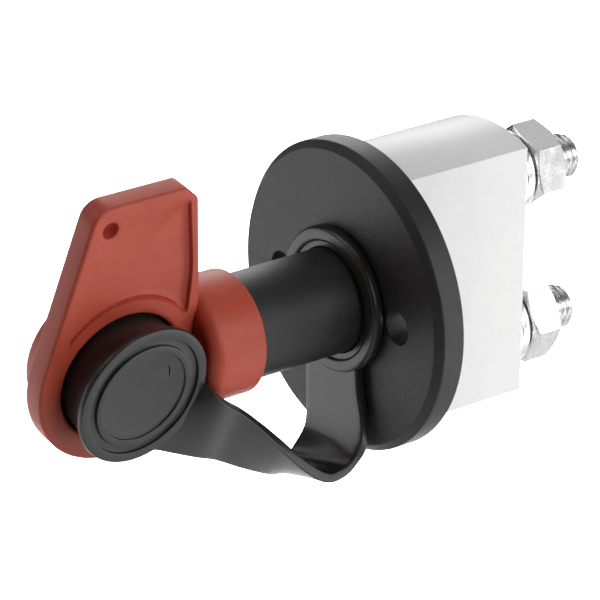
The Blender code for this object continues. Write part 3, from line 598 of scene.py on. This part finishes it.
def make_lock_washer(side, z):
    """A split washer: one turn of a helix, open over a few degrees."""
    bm = bmesh.new()
    opening, start, steps = math.radians(16), math.radians(-70), 90
    corners = [
        (WASHER_BORE, 0, 0.15),
        (LOCK_RADIUS, 0, 0.3),
        (LOCK_RADIUS, LOCK_THICKNESS, 0.3),
        (WASHER_BORE, LOCK_THICKNESS, 0.15),
    ]
    section = rounded(corners, closed=True, steps=3)
    rings = []
    for n in range(steps + 1):
        share = n / steps
        angle = start + opening / 2 + share * (2 * math.pi - opening)
        ring = []
        for radius, height in section:
            place = along_y(radius, LOCK_FRONT + share * LOCK_RISE + height, angle) + Vector((0, 0, z))
            ring.append(bm.verts.new(place * MM))
        rings.append(ring)
    skin(bm, rings, ends=True)
    tidy(bm)
    lock = piece(side + "_split_washer", bm, CHROME, sharp=50)
    stand_for(lock, "housing", side + "_lock_washer")


# ---------------------------------------------------------------- the key

def smooth(low, high, value):
    """Rises from 0 at low to 1 at high."""
    t = min(1.0, max(0.0, (value - low) / (high - low)))
    return t * t * (3 - 2 * t)


def inside_loop(loop, p):
    """Whether a point of the key's plate is inside a loop of such points."""
    xs = np.array([q.x for q in loop])
    ys = np.array([q.y for q in loop])
    x2, y2 = np.roll(xs, -1), np.roll(ys, -1)
    crosses = (ys > p[1]) != (y2 > p[1])
    with np.errstate(divide="ignore", invalid="ignore"):
        at = xs + (p[1] - ys) * (x2 - xs) / (y2 - ys)
    return bool(np.count_nonzero(crosses & (p[0] < at)) % 2)


def arc_about_eye(radius, first, last, steps):
    """Points in (y, m) on an arc round the eye, between two angles in degrees."""
    points = []
    for n in range(steps + 1):
        angle = math.radians(first + (last - first) * n / steps)
        points.append((EYE.y + radius * math.cos(angle), radius * math.sin(angle)))
    return points


def recess_line():
    """The foot of the recess's wall in (y, m): down its right side, round a corner and along the arc."""
    arc = arc_about_eye(RECESS_RADIUS, 47.2, 139.5, 69)
    wall = rounded(
        [
            (-54.9, 38.6, 0),
            (-54.0, RECESS_TOP, 0.7),
            (-52.5, 38.4, 1.4),
            (-49.95, 21.5, 45.0),
            (-50.05, 9.84, 1.5),
            (*arc[0], 0),
        ],
        steps=8,
    )
    return [Vector(p) for p in wall + arc[1:]]


RECESS_LINE = recess_line()
RECESS_STARTS = np.array([tuple(p) for p in RECESS_LINE[:-1]])
RECESS_STEPS = np.array([tuple(b - a) for a, b in zip(RECESS_LINE, RECESS_LINE[1:])])
# The line closed into a loop, by way of the plate's left side and top, where there is no wall.
RECESS_LOOP = [*RECESS_LINE, Vector((-84, 12)), Vector((-84, 44)), Vector((-55, 44))]


def recess_reach(y, m):
    """The distance inside the recess from its wall line, negative outside it."""
    here = np.array((y, m)) - RECESS_STARTS
    share = np.clip((here * RECESS_STEPS).sum(1) / (RECESS_STEPS**2).sum(1), 0, 1)
    gap = here - RECESS_STEPS * share[:, None]
    away = float(np.hypot(gap[:, 0], gap[:, 1]).min())
    return away if inside_loop(RECESS_LOOP, (y, m)) else -away


def recess_depth(y, m):
    """How far the plate's face is sunk: deep at the right and by the eye, and fading out to the left."""
    if m < 8 or m > RECESS_TOP + 0.1 or y < -79.5:
        return 0.0
    reach = recess_reach(y, m)
    if reach < -0.1:
        return 0.0
    right = max(0.0, -50.1 - y)
    left = smooth(-79.3, -78.2, y)
    top = smooth(0, min(14.0, 1.2 + 0.7 * right), RECESS_TOP - m)
    slope = 1.35 * (1 - smooth(0, 31, right) * 0.55 - min(1, right / 27) * 0.45)
    from_arc = math.hypot(y - EYE.y, m) - RECESS_RADIUS
    groove = 0.75 * math.exp(-(((from_arc - 0.3) / 0.27) ** 2)) * left * (1 - math.exp(-right / 3))
    wall = 0.6 * smooth(-0.06, 0.3, reach) + 0.4 * smooth(0, 1.7, reach)
    return slope * left * top * wall + groove * smooth(-0.06, 0.1, reach)


def recess_rows(outer):
    """Rows of points that follow the recess's wall, close together where its face is steep."""
    there_and_back = resample(RECESS_LINE + RECESS_LINE[-2:0:-1], 0.36)
    line = there_and_back[: len(there_and_back) // 2]
    rows = []
    for reach in (-0.5, -0.22, -0.07, 0.04, 0.13, 0.22, 0.31, 0.41, 0.52, 0.66, 0.85, 1.1, 1.45):
        for n, p in enumerate(line):
            step = (line[min(n + 1, len(line) - 1)] - line[max(n - 1, 0)]).normalized()
            q = p + Vector((step.y, -step.x)) * reach
            if abs(abs(recess_reach(q.x, q.y)) - abs(reach)) < 0.02 and inside_loop(outer, q):
                rows.append(q)
    return rows


def plate_outline():
    """The plate's outline in (y, m), evenly spaced."""
    arc = arc_about_eye(EYE_RADIUS, 330, 167, 59)
    corners = rounded(
        [
            (*arc[-1], 0),
            (-75.2, PLATE_TOP, 4.4),
            (-53.8, PLATE_TOP, 1.2),
            (-50.5, 38.4, 1.4),
            (-47.4, 14.6, 3.0),
            (-47.8, -9.85, 0.6),
            (*arc[0], 0),
        ],
        steps=10,
    )
    return resample([Vector(p) for p in arc + corners[1:-1]], 0.5)


def resample(loop, spacing):
    """Points at even distances round a closed loop."""
    lengths = [(loop[(n + 1) % len(loop)] - p).length for n, p in enumerate(loop)]
    total = sum(lengths)
    count = int(total / spacing)
    result, n, passed = [], 0, 0.0
    for k in range(count):
        target = total * k / count
        while passed + lengths[n] < target:
            passed += lengths[n]
            n += 1
        result.append(loop[n].lerp(loop[(n + 1) % len(loop)], (target - passed) / lengths[n]))
    return result


def inset(loop, distance):
    """The loop moved inwards. It runs clockwise, so inwards is to the right of each step."""
    moved = []
    for n, p in enumerate(loop):
        step = (loop[(n + 1) % len(loop)] - loop[n - 1]).normalized()
        moved.append(p + Vector((step.y, -step.x)) * distance)
    return moved


def circle(centre, radius, steps):
    """Points in (y, m)."""
    points = []
    for n in range(steps):
        angle = 2 * math.pi * n / steps
        points.append(Vector((centre.x + radius * math.cos(angle), centre.y + radius * math.sin(angle))))
    return points


def sheet_between(bm, outer, holes, extra, height):
    """A triangulated face inside the outer loop and outside the round holes, at height(y, m)."""
    points = list(outer)
    edges = [(n, (n + 1) % len(outer)) for n in range(len(outer))]
    for hole in holes:
        base = len(points)
        points += hole
        edges += [(base + n, base + (n + 1) % len(hole)) for n in range(len(hole))]
    points += extra
    coords, _, faces, *_ = delaunay_2d_cdt(points, edges, [], 1, 1e-5)
    verts = [bm.verts.new(key_point(c.x, c.y, height(c.x, c.y)) * MM) for c in coords]
    centres = [sum(hole, Vector((0, 0))) / len(hole) for hole in holes]
    radii = [(hole[0] - centre).length for hole, centre in zip(holes, centres)]
    for face in faces:
        middle = sum((coords[i] for i in face), Vector((0, 0))) / len(face)
        if all((middle - centre).length > radius * 0.995 for centre, radius in zip(centres, radii)):
            bm.faces.new([verts[i] for i in face])
    for v in [v for v in verts if not v.link_faces]:
        bm.verts.remove(v)


def face_points(outer, holes, spacing, free):
    """Points spread over a face in staggered rows, where free(y, m) is true."""
    result = []
    low_y, high_y = min(p.x for p in outer), max(p.x for p in outer)
    low_m, high_m = min(p.y for p in outer), max(p.y for p in outer)
    clear = inset(outer, spacing * 0.4)
    for row in range(int((high_m - low_m) / spacing) + 1):
        for column in range(int((high_y - low_y) / spacing) + 1):
            p = Vector((low_y + (column + (row % 2) / 2) * spacing, low_m + row * spacing))
            near_hole = any((p - centre).length < radius + spacing * 0.4 for centre, radius in holes)
            if inside_loop(clear, p) and not near_hole and free(p.x, p.y):
                result.append(p)
    return result


def loft(bm, loops, ends=False):
    """A surface through successive loops of places in millimetres."""
    skin(bm, [[bm.verts.new(p * MM) for p in loop] for loop in loops], ends)


def plate_wall(outline):
    """Loops up the plate's edge from its front face to its back face, rounded at both."""
    steps = 5
    walls = []
    for n in range(steps + 1):
        angle = math.pi / 2 * (1 - n / steps)
        loop = inset(outline, FRONT_EDGE * (1 - math.cos(angle)))
        height = PLATE_FRONT - FRONT_EDGE * (1 - math.sin(angle))
        walls.append([key_point(p.x, p.y, height) for p in loop])
    for n in range(steps + 1):
        angle = math.pi / 2 * n / steps
        loop = inset(outline, BACK_EDGE * (1 - math.cos(angle)))
        height = PLATE_BACK + BACK_EDGE * (1 - math.sin(angle))
        walls.append([key_point(p.x, p.y, height) for p in loop])
    return walls


def lanyard_wall(mouth):
    """Loops through the lanyard hole, rounded a little at both faces."""
    lips = []
    lip_radius = LANYARD_RADIUS + 0.1
    for radius, height in [(LANYARD_MOUTH, 0), (lip_radius, -0.08), (LANYARD_RADIUS, -0.3)]:
        lip = []
        for p, q in zip(circle(LANYARD, radius, len(mouth)), mouth):
            lip.append(key_point(p.x, p.y, PLATE_FRONT + height - recess_depth(q.x, q.y)))
        lips.append(lip)
    for radius, height in [(LANYARD_RADIUS, 0.3), (lip_radius, 0.08), (LANYARD_MOUTH, 0)]:
        loop = circle(LANYARD, radius, len(mouth))
        lips.append([key_point(p.x, p.y, PLATE_BACK + height) for p in loop])
    return lips


def make_plate():
    """The key's plate, with its sloping recess, the cap's pocket behind the eye and the lanyard hole."""
    outline = plate_outline()
    eye, eye_steps = Vector((EYE.y, 0)), 144
    bm = bmesh.new()
    loft(bm, plate_wall(outline))
    hole_loop = circle(LANYARD, LANYARD_MOUTH, 40)
    face = inset(outline, FRONT_EDGE)
    holes = [(eye, MOUTH_RADIUS), (LANYARD, LANYARD_MOUTH)]
    extra = face_points(face, holes, 0.8, lambda y, m: m < 8 or not -0.8 < recess_reach(y, m) < 1.7)
    extra += recess_rows(inset(face, 0.2))
    loops = [circle(eye, MOUTH_RADIUS, eye_steps), hole_loop]
    sheet_between(bm, face, loops, extra, lambda y, m: PLATE_FRONT - recess_depth(y, m))
    loft(bm, lanyard_wall(hole_loop))
    pocket = rounded(
        [
            (MOUTH_RADIUS, PLATE_FRONT, 0),
            (MOUTH_RADIUS - 0.1, PLATE_FRONT - 0.03, 0),
            (POCKET_RADIUS, PLATE_FRONT - 0.5, 0.4),
            (POCKET_RADIUS, POCKET_FLOOR, 0.6),
            (2.0, POCKET_FLOOR, 0),
        ]
    )
    turn(bm, [*pocket, (0, POCKET_FLOOR)], about_eye, eye_steps, closed=False)
    back_face = inset(outline, BACK_EDGE)
    holes = [(eye, BOSS_FOOT), (LANYARD, LANYARD_MOUTH)]
    extra = face_points(back_face, holes, 2.0, lambda y, m: True)
    loops = [circle(eye, BOSS_FOOT, eye_steps), hole_loop]
    sheet_between(bm, back_face, loops, extra, lambda y, m: PLATE_BACK)
    boss = rounded(
        [
            (BOSS_FOOT, PLATE_BACK, 0),
            (BOSS_FOOT - 0.2, PLATE_BACK - 0.05, 0),
            (16.2, PLATE_BACK - 0.4, 0),
            (BOSS_RADIUS, BOSS_BACK, 1.6),
            (2.0, BOSS_BACK, 0),
        ],
        steps=8,
    )
    turn(bm, [*boss, (0, BOSS_BACK)], about_eye, eye_steps, closed=False)
    tidy(bm)
    return piece("key_handle_body", bm, RED)


def make_key():
    """The key: its plate, joined to the hub that takes the shaft and its cross pin."""
    key = make_plate()
    hub = rounded(
        [
            (0, -41.6, 0),
            (11.9, -41.6, 0.4),
            (11.9, HUB_BACK, 0.3),
            (HUB_RADIUS, HUB_BACK, 0.6),
            (HUB_RADIUS, HUB_FRONT, 3.0),
            (3.9, HUB_FRONT, 0.2),
            (3.9, HUB_FRONT - 1.2, 0),
            (0, HUB_FRONT - 1.2, 0),
        ],
        steps=10,
    )
    boolean(key, turned("hub", hub, RED, place=about_hub), "UNION")
    pin_hole = [(0, -20.0), (PIN_RADIUS, -20.0), (PIN_RADIUS, 5.7), (0, 5.7)]
    boolean(key, turned("pin_hole", pin_hole, RED, place=about_pin, steps=32))
    boolean(key, block("shaft_hole", (7.0, 7.0, 7.0), (0, SHAFT_HOLE_Y, 0), RED, KEY_ANGLE))
    stand_for(key, "key", "key_handle")


def make_shaft():
    """The square steel shaft, with a tapered end."""
    low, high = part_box("key_shaft")
    front, back = low.y / MM, high.y / MM
    bm = bmesh.new()
    loops = []
    for reach, y in [
        (SHAFT_HALF, front),
        (SHAFT_HALF, back - 1.6),
        (SHAFT_HALF - 0.25, back - 0.9),
        (SHAFT_HALF - 1.1, back),
    ]:
        square = [(reach, reach, 0.5), (-reach, reach, 0.5), (-reach, -reach, 0.5), (reach, -reach, 0.5)]
        loops.append([key_point(y, m, h) for m, h in rounded(square, closed=True, steps=3)])
    loft(bm, loops, ends=True)
    tidy(bm)
    stand_for(piece("square_shaft", bm, STEEL), "key", "key_shaft")


# ---------------------------------------------------------------- cap, strap and ring

def cap_mark():
    """A small crescent, as a cutter that reaches a little into the cap's face."""
    half, steps, outer, inner = 1.75, 12, [], []
    for n in range(steps + 1):
        share = n / steps * 2 - 1
        bow = 1 - share * share
        outer.append(Vector((0.42 * bow, share * half)))
        inner.append(Vector((0.10 * bow - 0.02, -share * half)))
    lean = Matrix.Rotation(math.radians(10), 2)
    middle = Vector((5.75, 4.3))
    loops = []
    for height in (CAP_FACE + 0.2, CAP_FACE - 0.85):
        loop = []
        for point in outer + inner[1:-1]:
            p = middle + lean @ point
            loop.append(CAP_CENTRE + CAP_ALONG * p.x + CAP_UP * p.y + CAP_OUT * height)
        loops.append(loop)
    bm = bmesh.new()
    loft(bm, loops, ends=True)
    tidy(bm)
    return piece("mark", bm, RUBBER)


def make_cap():
    """The dust cap: a rim, a groove, a raised rib and a sunk middle, on a hollow skirt."""
    profile = rounded(
        [
            (0, CAP_FACE - 0.45, 0),
            (10.2, CAP_FACE - 0.42, 0.12),
            (10.35, CAP_FACE - 0.02, 0.1),
            (11.75, CAP_FACE - 0.02, 0.1),
            (11.88, CAP_FACE - 0.68, 0.12),
            (13.45, CAP_FACE - 0.68, 0.12),
            (13.6, CAP_FACE, 0.1),
            (CAP_RADIUS, CAP_FACE, 0.25),
            (CAP_RADIUS + 0.1, CAP_FACE - 0.8, 0.3),
            (CAP_RADIUS - 0.05, CAP_FACE - 1.65, 0.35),
            (SKIRT_RADIUS + 0.2, CAP_FACE - 1.75, 0.35),
            (SKIRT_RADIUS, SKIRT_END, 0.5),
            (SKIRT_BORE, SKIRT_END, 0.4),
            (SKIRT_BORE, CAP_FACE - 2.0, 0.6),
            (0, CAP_FACE - 2.0, 0),
        ],
        steps=4,
    )
    cap = turned("dust_cap", profile, RUBBER, place=about_cap, steps=180)
    boolean(cap, cap_mark())
    stand_for(cap, "cap", "cap")


# The strap's two edges from the cap to the ring, each as (x, y, z) in the middle of its thickness.
# It leaves in the disc's plane, twists a quarter turn and comes up as a flat tab. The first two
# pairs are its root inside the cap's rim, and from the third on they are the CAD's.
STRAP_EDGES = [
    ((9.0, -49.7, -2.7), (6.4, -59.2, -16.9)),
    ((9.3, -49.0, -3.7), (6.7, -58.9, -17.7)),
    ((13.1, -47.0, -7.2), (4.8, -47.6, -23.2)),
    ((10.6, -40.5, -12.5), (2.2, -40.1, -27.2)),
    ((9.6, -35.0, -17.6), (0.3, -32.8, -31.6)),
    ((9.3, -29.9, -23.0), (-1.8, -26.3, -35.3)),
    ((9.6, -26.8, -26.6), (-3.0, -22.6, -37.3)),
    ((9.9, -23.2, -30.5), (-4.6, -19.6, -38.8)),
    ((10.2, -19.1, -34.2), (-6.1, -17.4, -39.3)),
    ((10.4, -15.7, -35.9), (-6.7, -16.0, -38.6)),
    ((10.6, -12.0, -35.3), (-6.4, -14.7, -37.2)),
    ((10.9, -9.5, -33.1), (-5.8, -13.6, -35.8)),
    ((11.9, -8.6, -30.0), (-7.3, -9.4, -33.0)),
    ((12.0, -8.2, -26.0), (-7.7, -8.2, -29.4)),
    ((11.3, -8.1, -22.2), (-7.8, -8.1, -24.2)),
    ((10.1, -8.1, -17.8), (-7.8, -8.1, -19.0)),
    ((9.4, -8.1, -11.0), (-7.4, -8.1, -12.0)),
]
# The strap is two pieces, which meet at this station.
STRAP_SPLIT = 4
STRAP_STEPS = 10


def smooth_through(points):
    """A smooth curve through the points, with STRAP_STEPS steps between each two."""
    curve = []
    for n in range(len(points) - 1):
        before, start, end = points[max(n - 1, 0)], points[n], points[n + 1]
        after = points[min(n + 2, len(points) - 1)]
        for step in range(STRAP_STEPS):
            t = step / STRAP_STEPS
            bend = 2 * before - 5 * start + 4 * end - after
            twist = 3 * start - before - 3 * end + after
            curve.append(start + (end - before) * t / 2 + bend * t * t / 2 + twist * t**3 / 2)
    return curve + [points[-1]]


def strap_sections():
    """Flat sections with rounded edges along the strap, which widens into the cap's rim."""
    uppers = smooth_through([Vector(upper) for upper, _ in STRAP_EDGES])
    lowers = smooth_through([Vector(lower) for _, lower in STRAP_EDGES])
    middles = [(upper + lower) / 2 for upper, lower in zip(uppers, lowers)]
    half, edge, columns = STRAP_HALF_THICKNESS, STRAP_EDGE_RADIUS, 12
    sections = []
    for n, middle in enumerate(middles):
        wide = (uppers[n] - lowers[n]) / 2
        along = middles[min(n + 1, len(middles) - 1)] - middles[max(n - 1, 0)]
        thick = along.cross(wide).normalized()
        root = max(0.0, 1 - n / (1.7 * STRAP_STEPS))
        reach = wide.length + 1.3 * root**3
        side = wide.normalized()
        across = [reach * (1 - 2 * k / columns) for k in range(1, columns)]
        corners = [(reach, half, edge)]
        corners += [(place, half, 0) for place in across]
        corners += [(-reach, half, edge), (-reach, -half, edge)]
        corners += [(-place, -half, 0) for place in across]
        corners.append((reach, -half, edge))
        shape = rounded(corners, closed=True, steps=4)
        sections.append([middle + side * a + thick * b for a, b in shape])
    return sections


def meet_ring(sections):
    """Ends the strap on an arc inside the ring's bead."""
    for section in sections[-STRAP_STEPS:]:
        for p in section:
            if math.hypot(p.x, p.z) < STRAP_END_RADIUS:
                p.z = -math.sqrt(STRAP_END_RADIUS**2 - p.x**2)


def make_strap():
    """The strap, as two pieces."""
    sections = strap_sections()
    meet_ring(sections)
    split = STRAP_SPLIT * STRAP_STEPS
    front, rear = sections[: split + 1], sections[split:]
    tab = sections[-1 - STRAP_STEPS]
    for name, part, bodies, start, end, node in (
        ("strap_by_cap", front, ("key", "cap"), sections[split], sections[2], "strap_front"),
        ("strap_by_ring", rear, ("rotor", "key"), tab, sections[split + 2], "strap_rear"),
    ):
        bm = bmesh.new()
        loft(bm, part, ends=True)
        tidy(bm)
        strap = piece(name, bm, RUBBER, sharp=60)
        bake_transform(strap)
        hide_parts(node)


def make_ring():
    """The strap's ring on the neck: a round bead with a thin web inside it."""
    profile = rounded(
        [
            (RING_BORE, RING_BACK, 0.2),
            (RING_RADIUS, RING_BACK, 0.5),
            (RING_RADIUS, RING_FRONT, 1.05),
            (RING_BORE + 1.7, RING_FRONT, 0.75),
            (RING_BORE + 1.3, WEB_FRONT, 0.3),
            (RING_BORE, WEB_FRONT, 0.2),
        ],
        closed=True,
        steps=6,
    )
    ring = turned("strap_ring", profile, RUBBER, steps=180)
    stand_for(ring, "rotor", "neck_ring")


# ---------------------------------------------------------------- the rest of the CAD nodes

def make_spring():
    """The contact's return spring: a coil with closed ends."""
    front, back, wire, coil, turns = 22.5, 31.4, 0.45, 3.95, 7
    closed_turns, closed_pitch = 0.9, 0.95
    per_turn, sides = 36, 12
    bm = bmesh.new()
    rings = []
    for n in range(turns * per_turn + 1):
        passed = n / per_turn
        share = min(1.0, max(0.0, (passed - closed_turns) / (turns - 2 * closed_turns)))
        closed = closed_pitch * (min(passed, closed_turns) + max(passed - turns + closed_turns, 0.0))
        height = front + closed + (back - front - 2 * closed_turns * closed_pitch) * share
        ring = []
        for k in range(sides):
            around = 2 * math.pi * k / sides
            radius = coil + wire * math.cos(around)
            place = along_y(radius, height + wire * math.sin(around), 2 * math.pi * passed)
            ring.append(bm.verts.new(place * MM))
        rings.append(ring)
    skin(bm, rings, ends=True)
    tidy(bm)
    spring = piece("return_spring", bm, STEEL, sharp=60)
    stand_for(spring, "housing", "contact_spring")
    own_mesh(spring)


def finish_inner_nodes():
    """Gives the CAD's own inner nodes a material and smooth shading."""
    finishes = {
        "spindle": CREAM,
        "bridge_carrier": CREAM,
        "spindle_seal": RUBBER,
        "spindle_circlip": STEEL,
        "key_shaft_pin": STEEL,
        "contact_bridge": COPPER,
        "upper_contact_tip": SILVER,
        "lower_contact_tip": SILVER,
    }
    for name, material in finishes.items():
        node = NODES[name]
        node.data.materials.clear()
        node.data.materials.append(material)
        shade(node.data, 35)


# ---------------------------------------------------------------- floor, light and camera

# In metres: what the softboxes face, and their side.
LIT_CENTRE = Vector((0, -0.01, 0))
SOFTBOX_SIZE = 0.5
# Each softbox has its azimuth and elevation in degrees, its distance in metres and its power in watts.
SOFTBOXES = (
    ("right", 59.09, 13.82, 0.9, 2.0),
    ("right_camera", 12.28, 22.40, 0.9, 3.95),
    ("right_back", 34.98, 9.86, 0.9, 0.3),
    ("front", -84.26, 8.49, 0.9, 0.3),
    ("top", 0.0, 90.0, 0.9, 1.05),
    ("top_left", -129.30, 44.60, 0.9, 1.6),
    ("low_left", -143.04, -15.28, 0.55, 1.3),
    ("top_back", 120.93, 50.23, 0.9, 0.5),
    ("back", 148.33, 19.27, 0.9, 3.4),
    ("low_right", 45.94, -30.36, 0.55, 1.7),
)
CAMERA_PLACE = Vector((0.5694, -0.4485, 0.3177))
CAMERA_AZIMUTH, CAMERA_ELEVATION, CAMERA_ROLL = -37.167, 23.835, 0.401


def make_stage():
    """A wide pale floor below the switch."""
    bm = bmesh.new()
    bmesh.ops.create_grid(bm, x_segments=8, y_segments=8, size=6.0)
    n = Nodes("pale_floor")
    n.link(n.ramp(n.noise(3, 3), (0.93, 0.93, 0.93), (0.96, 0.96, 0.96), 0.3, 0.7), "Base Color")
    n.set("Roughness", 0.9)
    n.set("Specular IOR Level", 0.0)
    floor = piece("studio_floor", bm, n.material)
    floor.location = (0, 0, -0.32)


def direction(azimuth, elevation):
    """A unit vector, from degrees round Z from +X and degrees up from level."""
    azimuth, elevation = math.radians(azimuth), math.radians(elevation)
    level = math.cos(elevation)
    return Vector((level * math.cos(azimuth), level * math.sin(azimuth), math.sin(elevation)))


def softbox(name, azimuth, elevation, distance, power):
    """A square light which faces the middle of the switch."""
    light = bpy.data.lights.new(name + "_softbox", "AREA")
    light.shape = "RECTANGLE"
    light.size, light.size_y = SOFTBOX_SIZE, SOFTBOX_SIZE
    light.energy = power
    obj = bpy.data.objects.new(name + "_softbox", light)
    bpy.context.scene.collection.objects.link(obj)
    toward = direction(azimuth, elevation)
    obj.location = LIT_CENTRE + toward * distance
    obj.rotation_euler = (-toward).to_track_quat("-Z", "Y").to_euler()


def make_light():
    """Softboxes round the camera and behind the switch, and a spot on the floor. The studio is dark."""
    world = bpy.data.worlds.new("studio")
    bpy.context.scene.world = world
    world.use_nodes = True
    background = world.node_tree.nodes["Background"]
    background.inputs["Color"].default_value = (1, 1, 1, 1)
    background.inputs["Strength"].default_value = 0.0
    for name, azimuth, elevation, distance, power in SOFTBOXES:
        softbox(name, azimuth, elevation, distance, power)
    spot = bpy.data.lights.new("floor_spot", "SPOT")
    spot.energy = 240.0
    spot.spot_size = math.radians(46)
    spot.spot_blend = 0.3
    spot.shadow_soft_size = 0.08
    obj = bpy.data.objects.new("floor_spot", spot)
    bpy.context.scene.collection.objects.link(obj)
    obj.location = (-0.63, 0.46, 1.0)


def make_camera():
    """A long lens on the key's side, above it and turned a little about its own line of sight."""
    camera = bpy.data.cameras.new("camera")
    camera.sensor_width = 36.0
    camera.lens = 223.3
    camera.clip_start, camera.clip_end = 0.05, 20.0
    obj = bpy.data.objects.new("camera", camera)
    bpy.context.scene.collection.objects.link(obj)
    back = direction(CAMERA_AZIMUTH, CAMERA_ELEVATION)
    level = Vector((0, 0, 1)).cross(back).normalized()
    right = Matrix.Rotation(math.radians(CAMERA_ROLL), 3, back) @ level
    axes = Matrix((right, back.cross(right), back)).transposed()
    obj.matrix_world = Matrix.Translation(CAMERA_PLACE) @ axes.to_4x4()
    bpy.context.scene.camera = obj


make_flange()
make_housing()
make_gasket()
make_screw("left", -SCREW_X)
make_screw("right", SCREW_X)
for SIDE, Z, NUT_TURN in (("upper", STUD_Z, 41.1), ("lower", -STUD_Z, 59.5)):
    make_stud(SIDE, Z)
    make_plain_washer(SIDE, Z)
    make_lock_washer(SIDE, Z)
    make_nut(SIDE, Z, NUT_TURN)
make_key()
make_shaft()
make_cap()
make_strap()
make_ring()
make_spring()
finish_inner_nodes()
make_stage()
make_light()
make_camera()
bpy.context.scene.view_settings.view_transform = "Standard"
